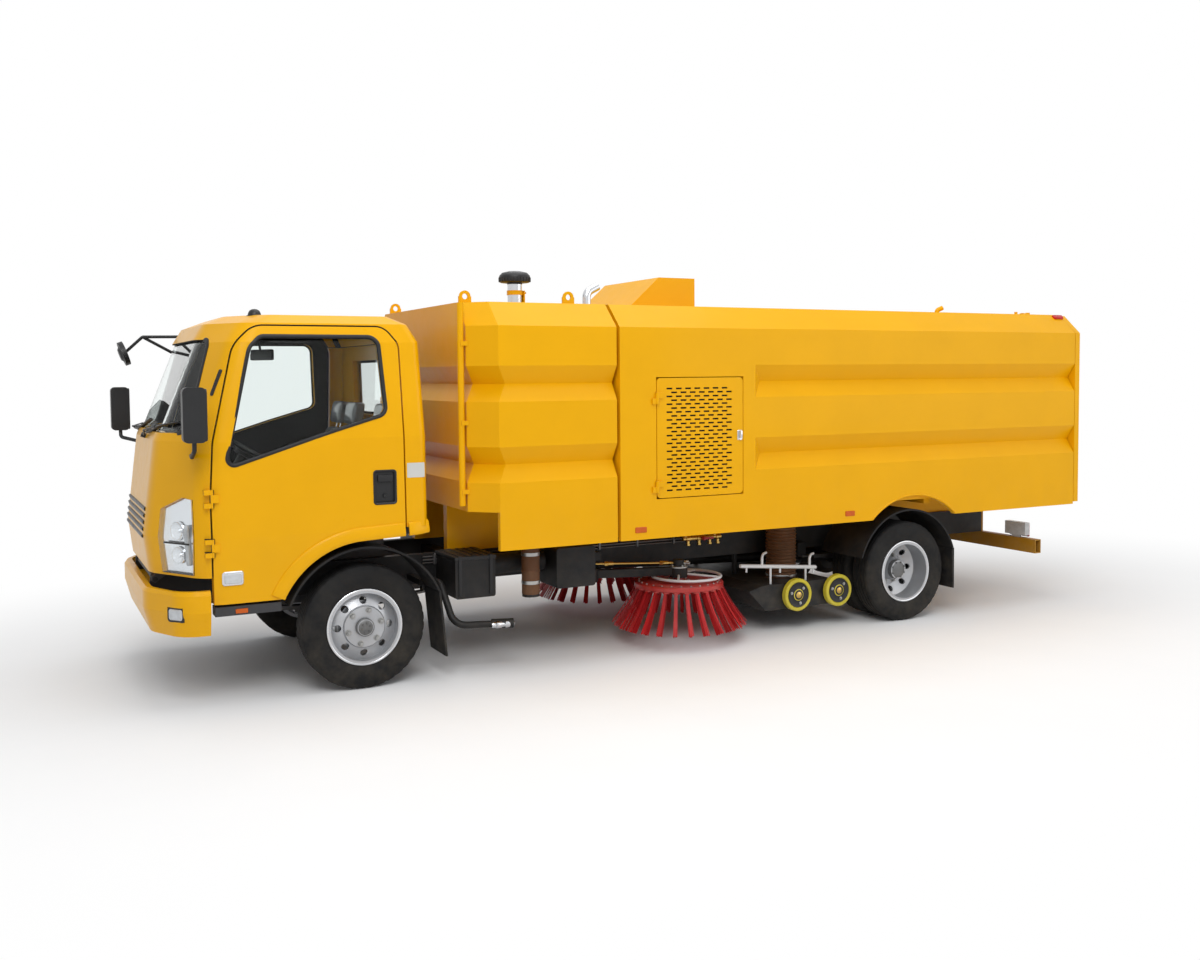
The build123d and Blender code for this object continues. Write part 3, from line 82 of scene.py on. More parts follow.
def connect(tree, node, inputs):
    """Links the inputs that are given as sockets and sets the others to constant values."""
    for key, value in inputs.items():
        if isinstance(value, bpy.types.NodeSocket):
            tree.links.new(value, node.inputs[key])
        else:
            node.inputs[key].default_value = value


def add_node(tree, kind, inputs):
    node = tree.nodes.new(f"ShaderNode{kind}")
    connect(tree, node, inputs)
    return node


def object_place(tree):
    """Place in object space, which stays with the piece."""
    return tree.nodes.new("ShaderNodeTexCoord").outputs["Object"]


def noise(tree, scale, detail=6.0, rough=0.6, stretch=(1, 1, 1)):
    mapping = add_node(tree, "Mapping", {"Vector": object_place(tree), "Scale": stretch})
    texture = add_node(tree, "TexNoise", {"Vector": mapping.outputs["Vector"], "Scale": scale,
                                          "Detail": detail, "Roughness": rough})
    return texture.outputs["Fac"]


def ramp(tree, value, stops):
    """Colour ramp through (place, colour) stops."""
    node = add_node(tree, "ValToRGB", {"Fac": value})
    elements = node.color_ramp.elements
    for element, (place, colour) in zip(elements, stops):
        element.position = place
        element.color = (*colour, 1.0)
    return node.outputs["Color"]


def mixed(tree, factor, a, b):
    """Colour a where factor is 0, b where it is 1; a is a socket, b a colour."""
    node = tree.nodes.new("ShaderNodeMix")
    node.data_type = "RGBA"
    connect(tree, node, {"Factor": factor, "A": a, "B": (*b, 1.0)})
    return node.outputs["Result"]


def combined(tree, operation, a, b):
    """Two values joined by a math operation."""
    node = add_node(tree, "Math", {0: a, 1: b})
    node.operation = operation
    return node.outputs["Value"]


def bump(tree, shader, height, strength, distance):
    node = add_node(tree, "Bump", {"Height": height, "Strength": strength, "Distance": distance})
    tree.links.new(node.outputs["Normal"], shader.inputs["Normal"])


def height_fade(tree, low, high):
    """1 at height low and below, 0 at height high and above, in metres above the ground at rest."""
    split = add_node(tree, "SeparateXYZ", {"Vector": object_place(tree)})
    fade = add_node(tree, "MapRange", {"Value": split.outputs["Z"], "From Min": low, "From Max": high,
                                       "To Min": 1.0, "To Max": 0.0})
    return fade.outputs["Result"]


def ranged(tree, value, low, high):
    """A 0 to 1 value spread between low and high."""
    return add_node(tree, "MapRange", {"Value": value, "To Min": low, "To Max": high}).outputs["Result"]


DUST = (0.33, 0.27, 0.19)
DUST_LOW = 0.1           # height in metres up to which dust is thickest
MOTTLE_SCALE, PATCH_SCALE, GLOSS_SCALE = 2.3, 9.0, 14.0
COAT_ROUGHNESS = 0.08


def surface(name, colour, rough, metal=0.0, variation=0.12, grain=120.0, bump_depth=0.0, dust=0.0,
            dust_top=1.1, coat=0.0, stretch=(1, 1, 1), shine=0.35):
    """General finish: mottled colour, uneven gloss, fine bump and road dust that thins out upwards."""
    material, tree, shader = new_material(name)
    dark = tuple(c * (1 - variation) for c in colour)
    light = tuple(min(1.0, c * (1 + variation * 0.6)) for c in colour)
    base = ramp(tree, noise(tree, MOTTLE_SCALE, stretch=stretch), [(0.32, dark), (0.68, light)])
    if dust:
        patches = ramp(tree, noise(tree, PATCH_SCALE, 8.0), [(0.35, (0, 0, 0)), (0.72, (1, 1, 1))])
        amount = combined(tree, "MULTIPLY", height_fade(tree, DUST_LOW, dust_top), patches)
        base = mixed(tree, combined(tree, "MULTIPLY", amount, dust), base, DUST)
    gloss = ranged(tree, noise(tree, GLOSS_SCALE), rough * 0.75, min(1.0, rough * 1.3))
    connect(tree, shader, {"Base Color": base, "Roughness": gloss, "Metallic": metal,
                           "Specular IOR Level": shine, "Coat Weight": coat,
                           "Coat Roughness": COAT_ROUGHNESS})
    if bump_depth:
        bump(tree, shader, noise(tree, grain, 3.0, stretch=stretch), 0.35, bump_depth)
    return material


def clear(name, colour, rough=0.01, ior=1.45):
    """Clear glass or lens with a faint smear in its gloss."""
    material, tree, shader = new_material(name)
    smear = ranged(tree, noise(tree, 6.0), rough * 0.5, rough * 2.5)
    connect(tree, shader, {"Base Color": (*colour, 1.0), "Transmission Weight": 1.0, "IOR": ior,
                           "Roughness": smear})
    return material


def fluted_lens(name, colour):
    """Coloured lens with moulded flutes."""
    material, tree, shader = new_material(name)
    base = ramp(tree, noise(tree, 30.0), [(0.3, tuple(c * 0.8 for c in colour)), (0.7, colour)])
    connect(tree, shader, {"Base Color": base, "Roughness": 0.16, "Specular IOR Level": 0.2,
                           "Coat Weight": 0.15})
    wave = add_node(tree, "TexWave", {"Scale": 60.0, "Vector": object_place(tree)})
    bump(tree, shader, wave.outputs["Fac"], 0.25, 0.002)
    return material


YELLOW = (0.80, 0.395, 0.001)
paint = surface("yellow_paint", YELLOW, 0.36, variation=0.03, grain=420.0, bump_depth=0.0004, dust=0.05,
                dust_top=1.5, coat=0.05, shine=0.12)
cab_paint = surface("cab_paint", YELLOW, 0.30, variation=0.03, grain=420.0, bump_depth=0.0003, dust=0.04,
                    dust_top=1.2, coat=0.10, shine=0.12)
# Rear bar: the yellow paint at about half its brightness, painted shade for the shadow its forward face is
# in; the dust on it is road dust
painted_shade_bar_yellow = surface("painted_shade_bar_yellow", (0.42, 0.20, 0.012), 0.45, dust=0.4, dust_top=0.9, bump_depth=0.0006,
                    shine=0.15)
chassis = surface("chassis_paint", (0.014, 0.014, 0.015), 0.5, variation=0.4, bump_depth=0.0008, dust=0.12,
                  dust_top=0.9, shine=0.25)
cast = surface("cast_metal", (0.07, 0.07, 0.075), 0.6, metal=0.4, variation=0.3, bump_depth=0.0012,
               grain=60.0, dust=0.3)
steel = surface("dark_steel", (0.12, 0.12, 0.125), 0.42, metal=0.8, variation=0.3, bump_depth=0.0005,
                dust=0.3)
bright = surface("bright_steel", (0.62, 0.63, 0.65), 0.2, metal=1.0, variation=0.1, bump_depth=0.0002)
zinc = surface("zinc_plate", (0.42, 0.42, 0.41), 0.36, metal=0.9, variation=0.2, bump_depth=0.0004)
silver = surface("silver_paint", (0.46, 0.47, 0.49), 0.34, metal=0.6, variation=0.14, bump_depth=0.0004,
                 dust=0.2, dust_top=0.7)
hub_grey = surface("hub_grey", (0.16, 0.165, 0.17), 0.45, metal=0.5, variation=0.25, bump_depth=0.0006,
                   dust=0.2)
rubber = surface("tyre_rubber", (0.013, 0.013, 0.0135), 0.7, variation=0.3, bump_depth=0.0010, grain=90.0,
                 dust=0.10, dust_top=0.9, shine=0.18)
black = surface("black_plastic", (0.014, 0.014, 0.015), 0.42, variation=0.25, bump_depth=0.0004, grain=300.0)
seal = surface("rubber_seal", (0.010, 0.010, 0.011), 0.5, variation=0.25, bump_depth=0.0003, grain=250.0)
guard = surface("mudguard_plastic", (0.012, 0.012, 0.013), 0.6, variation=0.35, bump_depth=0.0008,
                grain=160.0, dust=0.14, dust_top=1.0, shine=0.2)
grey = surface("interior_plastic", (0.045, 0.045, 0.048), 0.6, variation=0.2, bump_depth=0.0005, grain=260.0)
lining = surface("cab_lining", (0.012, 0.012, 0.013), 0.75, variation=0.3, bump_depth=0.0008, grain=320.0,
                 shine=0.12)
cloth = surface("seat_cloth", (0.26, 0.27, 0.29), 0.4, variation=0.45, bump_depth=0.004, grain=26.0, coat=0.8)
red = surface("bristle_red", (0.50, 0.014, 0.016), 0.5, variation=0.35, bump_depth=0.0006, grain=200.0,
              stretch=(1, 1, 0.15))
red_paint = surface("red_paint", (0.42, 0.016, 0.016), 0.42, variation=0.2, bump_depth=0.0005, dust=0.3,
                    dust_top=0.7, coat=0.2)
white = surface("white_plastic", (0.66, 0.67, 0.68), 0.4, variation=0.08, bump_depth=0.0003, dust=0.2,
                dust_top=0.8)
brass = surface("brass", (0.60, 0.40, 0.12), 0.3, metal=1.0, variation=0.2, bump_depth=0.0003)
brown = surface("brown_rubber", (0.13, 0.055, 0.022), 0.6, variation=0.3, bump_depth=0.0010, dust=0.2)
roller = surface("roller_tyre", (0.60, 0.50, 0.03), 0.5, variation=0.2, bump_depth=0.0006, dust=0.25,
                 dust_top=0.5)
pale = surface("label_white", (0.60, 0.60, 0.57), 0.4, variation=0.08, bump_depth=0.0002)
mirror_glass = surface("mirror_glass", (0.75, 0.78, 0.80), 0.04, metal=1.0, variation=0.03)
reflector = surface("lamp_reflector", (0.80, 0.81, 0.83), 0.12, metal=1.0, variation=0.05,
                    bump_depth=0.0006, grain=80.0)
glass = clear("window_glass", (0.90, 0.94, 0.93), ior=1.22)
lens = clear("lamp_lens", (0.93, 0.95, 0.96), rough=0.02)
amber = fluted_lens("amber_lens", (0.62, 0.11, 0.008))
red_lens = fluted_lens("red_lens", (0.55, 0.012, 0.012))
smoke = fluted_lens("clear_flutes", (0.62, 0.64, 0.66))

FINISHES = {
    paint: ("front_module", "hopper_sides", "hopper_roof", "hopper_floor", "hopper_bulkheads", "roof_duct",
            "grille_door", "tailgate", "service_eyes"),
    cab_paint: ("cab_front", "cab_rear", "cab_roof", "door_left", "door_right", "front_bumper"),
    # rear bar: the yellow darkened as painted shade
    painted_shade_bar_yellow: ("rear_bar",),
    chassis: ("frame_rails", "crossmembers", "frame_brackets", "front_axle", "rear_axle", "chassis_boxes",
              "knuckle_left", "knuckle_right", "broom_arm_left", "broom_arm_right", "pickup_head",
              "lift_barrels", "spray_nozzles"),
    cast: ("engines",),
    steel: ("leaf_springs",),
    bright: ("roof_pipes", "lift_rods"),
    silver: ("wheel_front_left", "wheel_front_right", "wheels_rear_left", "wheels_rear_right"),
    rubber: ("tyre_front_left", "tyre_front_right", "tyres_rear_left", "tyres_rear_right"),
    guard: ("mudguards",),
    grey: ("cab_floor", "dashboard"),
    black: ("steering_wheel", "mirrors"),
    cloth: ("seats",),
    glass: ("cab_glass", "door_glass_left", "door_glass_right"),
    lens: ("headlamps",),
    smoke: ("tail_lamps",),
    red: ("broom_left", "broom_right"),
    brown: ("suction_hose",),
    white: ("spray_bar",),
    roller: tuple(f"pickup_wheel_{place}_{side}" for place in ("front", "rear") for side, sign in SIDES),
}
for material, names in FINISHES.items():
    for name in names:
        mesh = nodes[name].data
        mesh.materials.clear()
        mesh.materials.append(material)


# Shapes that are added to a bmesh
def stitch(bm, first, second):
    """Faces between two rings of as many vertices."""
    count = len(first)
    for i in range(count):
        j = (i + 1) % count
        bm.faces.new((first[i], first[j], second[j], second[i]))


def add_block(bm, low, high, bevel=0.0, turn=None):
    """Box between two corners in metres, with softened edges; turn is applied about its centre."""
    low, high = Vector(low), Vector(high)
    size = high - low
    start = len(bm.verts)
    verts = bmesh.ops.create_cube(bm, size=1.0)["verts"]
    for v in verts:
        v.co = Vector((v.co.x * size.x, v.co.y * size.y, v.co.z * size.z))
    if bevel:
        edges = list({edge for v in verts for edge in v.link_edges})
        bmesh.ops.bevel(bm, geom=edges, offset=bevel, segments=2, affect="EDGES", profile=0.6)
        bm.verts.ensure_lookup_table()
        verts = bm.verts[start:]
    matrix = Matrix.Translation((low + high) / 2) @ (turn.to_4x4() if turn else Matrix.Identity(4))
    for v in verts:
        v.co = matrix @ v.co


def round_axes(axis):
    """An axis of length 1 and two directions square to it and to each other."""
    axis = Vector(axis).normalized()
    u = axis.orthogonal().normalized()
    return axis, u, axis.cross(u)


def add_ring(bm, profile, centre, axis, steps=32):
    """Surface of revolution of (radius, height along axis) in metres, on the axis where a radius is 0.

    A profile that comes back to its first point makes a closed ring.
    """
    centre = Vector(centre)
    axis, u, w = round_axes(axis)
    closed = profile[0] == profile[-1]
    turns = [tau * i / steps for i in range(steps)]
    loops = []
    for radius, height in profile[:-1] if closed else profile:
        middle = centre + axis * height
        if radius < 1e-7:
            loops.append([bm.verts.new(middle)])
        else:
            loops.append([bm.verts.new(middle + (u * cos(t) + w * sin(t)) * radius) for t in turns])
    if closed:
        loops.append(loops[0])
    for a, b in zip(loops, loops[1:]):
        for i in range(steps):
            j = (i + 1) % steps
            corners = [a[i % len(a)], a[j % len(a)], b[j % len(b)], b[i % len(b)]]
            unique = list(dict.fromkeys(corners))
            if len(unique) > 2:
                bm.faces.new(unique)


def add_lathe(bm, profile, centre, axis, steps):
    """Surface of revolution whose profile is in millimetres."""
    add_ring(bm, [(radius * MM, height * MM) for radius, height in profile], centre, axis, steps)


def add_rod(bm, start, end, radius, steps=12):
    """Closed round bar between two points."""
    start, end = Vector(start), Vector(end)
    length = (end - start).length
    add_ring(bm, [(0, 0), (radius, 0), (radius, length), (0, length)], start, end - start, steps)


def add_hex(bm, centre, axis, radius, height):
    """Hexagon nut."""
    profile = [(0, 0), (radius, 0), (radius, height * 0.8), (radius * 0.86, height), (0, height)]
    add_ring(bm, profile, centre, axis, 6)


def add_bolt_circle(bm, centre, axis, circle, count, radius, height):
    """Hexagon nuts on washers round a hub, in millimetres."""
    axis, u, w = round_axes(axis)
    washer = [(0, 0), (radius * 1.35, 0), (radius * 1.35, 3), (0, 3)]
    stud = [(0, 0), (radius * 0.5, 0), (radius * 0.5, height * 1.4), (radius * 0.4, height * 1.5),
            (0, height * 1.5)]
    for i in range(count):
        angle = tau * (i + 0.5) / count
        spot = Vector(centre) + (u * cos(angle) + w * sin(angle)) * circle * MM
        add_lathe(bm, washer, spot, axis, 16)
        add_hex(bm, spot + axis * 3 * MM, axis, radius * MM, height * MM)
        add_lathe(bm, stud, spot + axis * 3 * MM, axis, 10)


def add_sweep(bm, frames, section, closed=False):
    """Section (across, lift) in metres carried along frames of (place, across, lift)."""
    rings = []
    for place, across, lift in frames:
        rings.append([bm.verts.new(place + across * a + lift * b) for a, b in section])
    for first, second in zip(rings, rings[1:]):
        stitch(bm, first, second)
    if closed:
        stitch(bm, rings[-1], rings[0])
    else:
        bm.faces.new(rings[0])
        bm.faces.new(list(reversed(rings[-1])))


def rounded(points, radii, steps=8):
    """Closed outline of a plane with its corners turned into arcs, in the points' own unit."""
    made = []
    for i, radius in enumerate(radii):
        corner = Vector(points[i])
        before = Vector(points[i - 1]) - corner
        after = Vector(points[(i + 1) % len(points)]) - corner
        half = before.angle(after) / 2
        reach = min(radius / tan(half), before.length * 0.49, after.length * 0.49)
        radius = reach * tan(half)
        centre = corner + (before.normalized() + after.normalized()).normalized() * (radius / sin(half))
        first = (corner + before.normalized() * reach - centre).normalized()
        last = (corner + after.normalized() * reach - centre).normalized()
        made += [centre + first.slerp(last, k / steps) * radius for k in range(steps + 1)]
    return made


def slab(width, height, radius):
    """Rounded rectangle about its middle, from millimetres to metres."""
    w, h = width * MM / 2, height * MM / 2
    return rounded([(-w, -h), (w, -h), (w, h), (-w, h)], [radius * MM] * 4, 5)


def stations(points):
    """Side-view points from station millimetres to metres."""
    return [(AXLE_X + x * MM, z * MM) for x, z in points]


def with_normals(points):
    """Each point of a closed outline with the direction that leads out of it."""
    count = len(points)
    area = sum(points[i - 1].cross(points[i]) for i in range(count))
    turn = 1 if area > 0 else -1
    made = []
    for i, point in enumerate(points):
        along = (points[(i + 1) % count] - points[i - 1]).normalized()
        made.append((point, Vector((along.y, -along.x)) * turn))
    return made


def heading(points, i):
    """Direction of an open path at one of its points."""
    return (points[min(i + 1, len(points) - 1)] - points[max(i - 1, 0)]).normalized()


def add_panel(bm, outline, place, u, v, low, high, soft=0.0015):
    """Plate of a closed outline in metres along u and v, from low to high off its plane, with a soft rim."""
    n = u.cross(v)
    rings = []
    for height, inset in ((low, 0.0), (high - soft, 0.0), (high, soft)):
        ring = []
        for point, out in with_normals(outline):
            spot = point - out * inset
            ring.append(bm.verts.new(place + u * spot.x + v * spot.y + n * height))
        rings.append(ring)
    for first, second in zip(rings, rings[1:]):
        stitch(bm, first, second)
    bm.faces.new(rings[0])
    bm.faces.new(rings[-1])


def upright_axes(lift):
    """Directions along a skin, level and as near upright as it allows."""
    v = (UP - lift * lift.z).normalized()
    return v.cross(lift), v


# Pieces
def free_piece(name, bm, material, smooth):
    """Object of a bmesh, smooth where faces meet at less than an angle in degrees, not yet on a body."""
    bmesh.ops.recalc_face_normals(bm, faces=bm.faces)
    mesh = bpy.data.meshes.new(name)
    bm.to_mesh(mesh)
    bm.free()
    mesh.materials.append(material)
    for polygon in mesh.polygons:
        polygon.use_smooth = True
    mesh.set_sharp_from_angle(angle=radians(smooth))
    obj = bpy.data.objects.new(name, mesh)
    bpy.context.scene.collection.objects.link(obj)
    return obj


def mesh_piece(name, bm, body, material, smooth=35):
    """Object of a bmesh that rides on a body."""
    obj = free_piece(name, bm, material, smooth)
    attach(obj, body)
    return obj


def lathe_piece(name, profile, centre, axis, steps, body, material, smooth=35):
    """Piece of one turned profile in millimetres."""
    bm = bmesh.new()
    add_lathe(bm, profile, centre, axis, steps)
    mesh_piece(name, bm, body, material, smooth)


def sweep_piece(name, frames, section, body, material, smooth=35, closed=False):
    bm = bmesh.new()
    add_sweep(bm, frames, section, closed)
    mesh_piece(name, bm, body, material, smooth)


def panel_piece(name, size, spot, levels, body, material):
    """Plate of (width, height, corner) millimetres at (place, lift); levels are add_panel's last values."""
    place, lift = spot
    bm = bmesh.new()
    add_panel(bm, slab(*size), place, *upright_axes(lift), *levels)
    mesh_piece(name, bm, body, material)


def shell_piece(name, node, keep, near, far, body, material):
    """Closed layer over the faces of a node that keep(centre, normal) picks, from near to far off them."""
    source = bmesh.new()
    source.from_mesh(nodes[node].data)
    bmesh.ops.remove_doubles(source, verts=source.verts, dist=1e-5)
    source.normal_update()
    source.verts.index_update()
    source.verts.ensure_lookup_table()
    faces = [face for face in source.faces if keep(face.calc_center_median(), face.normal)]
    normals = {}
    for face in faces:
        for v in face.verts:
            normals[v.index] = normals.get(v.index, Vector()) + face.normal * face.calc_area()
    bm = bmesh.new()
    layers = []
    for distance in (near, far):
        layer = {}
        for i, normal in normals.items():
            layer[i] = bm.verts.new(source.verts[i].co + normal.normalized() * distance)
        layers.append(layer)
    chosen = set(faces)
    for face in faces:
        ring = [v.index for v in face.verts]
        bm.faces.new([layers[1][i] for i in ring])
        bm.faces.new([layers[0][i] for i in reversed(ring)])
        for loop in face.loops:
            if sum(other in chosen for other in loop.edge.link_faces) == 1:
                a, b = loop.vert.index, loop.link_loop_next.vert.index
                bm.faces.new((layers[0][a], layers[0][b], layers[1][b], layers[1][a]))
    source.free()
    return mesh_piece(name, bm, body, material)


# Skins of CAD nodes that trim is laid on
def tree_of(*names):
    """Ray-casting tree over CAD nodes at rest."""
    verts, faces = [], []
    for name in names:
        mesh = nodes[name].data
        base = len(verts)
        verts += [v.co.copy() for v in mesh.vertices]
        faces += [[base + i for i in polygon.vertices] for polygon in mesh.polygons]
    return BVHTree.FromPolygons(verts, faces)


def hit(tree, start, direction):
    """First point of a skin that a ray meets, with the direction that leads off it."""
    place, normal, index, distance = tree.ray_cast(Vector(start), Vector(direction))
    if place is None:
        raise ValueError(f"nothing in the way from {start} along {direction}")
    return place, (normal if normal.dot(Vector(direction)) < 0 else -normal)


cab_skin = tree_of("cab_front", "cab_rear", "cab_roof", "door_left", "door_right", "headlamps")
glass_skin = tree_of("cab_front", "cab_roof", "cab_glass")
front_skin = tree_of("cab_front", "cab_roof")
lamp_skin = tree_of("headlamps")


def side_skin(x, z, sign):
    """Point on the cab's side at a station, with its normal."""
    return hit(cab_skin, at(x, sign * OUTSIDE, z), (0, -sign, 0))


def skin_frames(tree, outline, start, direction, probe):
    """Frames along a closed outline laid on a skin, which is met a little outside the outline."""
    direction = Vector(direction)
    level = Vector((abs(direction.y), abs(direction.x), 0))
    frames = []
    for spot, out in with_normals(outline):
        across = level * out.x + Vector((0, 0, out.y))
        origin = Vector(start) + level * spot.x + Vector((0, 0, spot.y)) + across * probe
        place, lift = hit(tree, origin, direction)
        back = across * -probe
        place = place + back - direction * (lift.dot(back) / lift.dot(direction))
        across = (across - lift * across.dot(lift)).normalized()
        frames.append((place, across, lift))
    return frames


def level_frames(tree, starts, direction):
    """Frames of a level strip where rays from its starts meet a skin."""
    frames = []
    for start in starts:
        place, lift = hit(tree, start, direction)
        frames.append((place, UP, lift))
    return frames


# Camera and light
CAMERA_PLACE = at(-2041.8, -8216.3, 2032.1)
CAMERA_YAW, CAMERA_PITCH, CAMERA_ROLL = 0.477, 0.0523, -0.0078
FOCAL_PIXELS = 1152.6
IMAGE_WIDTH, IMAGE_HEIGHT = 1200.0, 960.0
PRINCIPAL_POINT = (599.4, 434.8)
SENSOR = 36.0


def add_camera():
    level = Vector((sin(CAMERA_YAW), cos(CAMERA_YAW), 0))
    ahead = level * cos(CAMERA_PITCH) - Vector((0, 0, sin(CAMERA_PITCH)))
    right = Vector((cos(CAMERA_YAW), -sin(CAMERA_YAW), 0))
    up = right.cross(ahead)
    side = right * cos(CAMERA_ROLL) + up * sin(CAMERA_ROLL)
    top = up * cos(CAMERA_ROLL) - right * sin(CAMERA_ROLL)
    data = bpy.data.cameras.new("photo_camera")
    data.sensor_fit = "HORIZONTAL"
    data.sensor_width = SENSOR
    data.lens = FOCAL_PIXELS * SENSOR / IMAGE_WIDTH
    data.shift_x = (IMAGE_WIDTH / 2 - PRINCIPAL_POINT[0]) / IMAGE_WIDTH
    data.shift_y = (PRINCIPAL_POINT[1] - IMAGE_HEIGHT / 2) / IMAGE_WIDTH
    camera = bpy.data.objects.new("photo_camera", data)
    matrix = Matrix((side, top, -ahead)).transposed().to_4x4()
    matrix.translation = CAMERA_PLACE
    camera.matrix_world = matrix
    bpy.context.scene.collection.objects.link(camera)
    bpy.context.scene.camera = camera


def seen_directly(tree):
    """1 for rays that show the background itself: from the camera, off gloss or through glass."""
    path = tree.nodes.new("ShaderNodeLightPath")
    total = path.outputs["Is Camera Ray"]
    for name in ("Is Glossy Ray", "Is Transmission Ray"):
        total = combined(tree, "MAXIMUM", total, path.outputs[name])
    return total


WORLD_LIGHT = 0.42
WORLD_COLOUR = (0.93, 0.96, 1.0, 1.0)
BACKGROUND_COLOUR = (1.0, 1.0, 1.0, 1.0)
LAMPS = (
    # name, place, target, size, power
    ("key", (-4.5, -8.0, 8.0), (0.0, 0.0, 1.2), 5.0, 470.0),
    ("fill", (6.5, -7.0, 4.0), (1.0, 0.0, 1.2), 6.0, 140.0),
    ("top", (0.0, -0.5, 9.5), (0.0, 0.0, 1.0), 9.0, 470.0),
)


def add_light():
    scene = bpy.context.scene
    scene.view_settings.view_transform = "Standard"
    world = bpy.data.worlds.new("studio")
    scene.world = world
    world.use_nodes = True
    tree = world.node_tree
    lit = tree.nodes["Background"]
    connect(tree, lit, {"Color": WORLD_COLOUR, "Strength": WORLD_LIGHT})
    shown = add_node(tree, "Background", {"Color": BACKGROUND_COLOUR})
    mix = add_node(tree, "MixShader", {"Fac": seen_directly(tree), 1: lit.outputs["Background"],
                                       2: shown.outputs["Background"]})
    tree.links.new(mix.outputs["Shader"], tree.nodes["World Output"].inputs["Surface"])
    for name, place, target, size, power in LAMPS:
        data = bpy.data.lights.new(name, "AREA")
        data.size = size
        data.energy = power
        lamp = bpy.data.objects.new(name, data)
        lamp.location = place
        lamp.rotation_euler = (Vector(target) - Vector(place)).to_track_quat("-Z", "Y").to_euler()
        scene.collection.objects.link(lamp)


FLOOR_HALF = 60.0
FLOOR_DROP = 0.001              # metres below the tyres, so that the two don't flicker
FLOOR_SHADED = 1.6              # metres from the truck's middle within which the floor is only lit
FLOOR_WHITE = 5.2               # and beyond which it is as white as the background
FLOOR_STRETCH = (0.62, 1.0, 1.0)


def add_floor():
    bm = bmesh.new()
    bmesh.ops.create_grid(bm, x_segments=1, y_segments=1, size=FLOOR_HALF)
    mesh = bpy.data.meshes.new("floor")
    bm.to_mesh(mesh)
    bm.free()
    floor = bpy.data.objects.new("floor", mesh)
    floor.location.z = -FLOOR_DROP
    material, tree, shader = new_material("pale_floor")
    base = ramp(tree, noise(tree, 0.8), [(0.3, (0.87, 0.87, 0.87)), (0.7, (0.90, 0.90, 0.90))])
    connect(tree, shader, {"Base Color": base, "Roughness": 0.8, "Specular IOR Level": 0.1})
    flatten = add_node(tree, "Mapping", {"Vector": object_place(tree), "Scale": FLOOR_STRETCH})
    distance = tree.nodes.new("ShaderNodeVectorMath")
    distance.operation = "LENGTH"
    tree.links.new(flatten.outputs["Vector"], distance.inputs[0])
    fade = add_node(tree, "MapRange", {"Value": distance.outputs["Value"], "From Min": FLOOR_SHADED,
                                       "From Max": FLOOR_WHITE})
    fade.interpolation_type = "SMOOTHSTEP"
    glow = tree.nodes.new("ShaderNodeEmission")
    share = combined(tree, "MULTIPLY", fade.outputs["Result"], seen_directly(tree))
    mix = add_node(tree, "MixShader", {"Fac": share, 1: shader.outputs["BSDF"], 2: glow.outputs["Emission"]})
    tree.links.new(mix.outputs["Shader"], tree.nodes["Material Output"].inputs["Surface"])
    mesh.materials.append(material)
    bpy.context.scene.collection.objects.link(floor)


add_camera()
add_light()
add_floor()

# Wheels and tyres
WHEEL_Z = 405.0                 # height of the axles
TYRE_RADIUS = 405.0
FRONT_TYRE_Y = 835
REAR_TYRE_Y = (690, 950)
TYRE_STEPS = 144
GROOVES = (-54.0, -18.0, 18.0, 54.0)
GROOVE_HALF, GROOVE_DEPTH = 4.5, 10.0
GROOVE_WAVE = 1.6
SHOULDER_CUT = 4.0
BOLT_CIRCLE = 112
FRONT_CAP = [(0, 2.5), (38, 2), (46, -2), (50, -6), (59.5, -9), (60.5, -34), (56, -34), (56, -8), (0, -4)]
REAR_CAP = [(0, 2.5), (60, 2.5), (66, 0), (78, -2), (80, -12), (80, -40), (74, -40), (74, -6), (0, -3)]
RIM_FLANGE = [(236, -1), (240, 2), (247, 2.5), (250, 0), (250, -3), (236, -4), (236, -1)]


def arc_points(a, b, c, steps):
    """Points on the circle through three plane points, from a to c."""
    a, b, c = Vector(a), Vector(b), Vector(c)
    d = 2 * (a.x * (b.y - c.y) + b.x * (c.y - a.y) + c.x * (a.y - b.y))
    sa, sb, sc = a.length_squared, b.length_squared, c.length_squared
    centre = Vector(((sa * (b.y - c.y) + sb * (c.y - a.y) + sc * (a.y - b.y)) / d,
                     (sa * (c.x - b.x) + sb * (a.x - c.x) + sc * (b.x - a.x)) / d))
    radius = (a - centre).length
    first = atan2(a.y - centre.y, a.x - centre.x)
    last = atan2(c.y - centre.y, c.x - centre.x)
    turns = [first + (last - first) * k / steps for k in range(steps + 1)]
    return [(centre.x + radius * cos(t), centre.y + radius * sin(t)) for t in turns]


SIDEWALL = arc_points((79.0, 232.5), (107.5, 320.3), (90.0, 397.0), 16)
SIDEWALL_RIBS = (3, 13)         # points of the side wall that stand out as ribs
RIB_HEIGHT = 1.6


def tyre_section(step):
    """Points (offset, radius) from bead to bead at one step round a tyre."""
    wave = GROOVE_WAVE * (abs(step % 8 - 4) - 2)
    cut = SHOULDER_CUT if step % 4 < 1 else 0.0
    wall = []
    for k, (offset, radius) in enumerate(SIDEWALL):
        wall.append((offset + (RIB_HEIGHT if k in SIDEWALL_RIBS else 0.0), radius))
    wall[-1] = (wall[-1][0], wall[-1][1] - cut * 0.6)
    shoulder = TYRE_RADIUS - cut
    floor = TYRE_RADIUS - GROOVE_DEPTH
    tread = [(-78.0, shoulder), (-68.0, shoulder)]
    for groove in GROOVES:
        middle = groove + wave
        tread += [(middle - GROOVE_HALF, TYRE_RADIUS), (middle - GROOVE_HALF * 0.7, floor),
                  (middle + GROOVE_HALF * 0.7, floor), (middle + GROOVE_HALF, TYRE_RADIUS)]
    tread += [(68.0, shoulder), (78.0, shoulder)]
    return [(-offset, radius) for offset, radius in wall] + tread + list(reversed(wall))


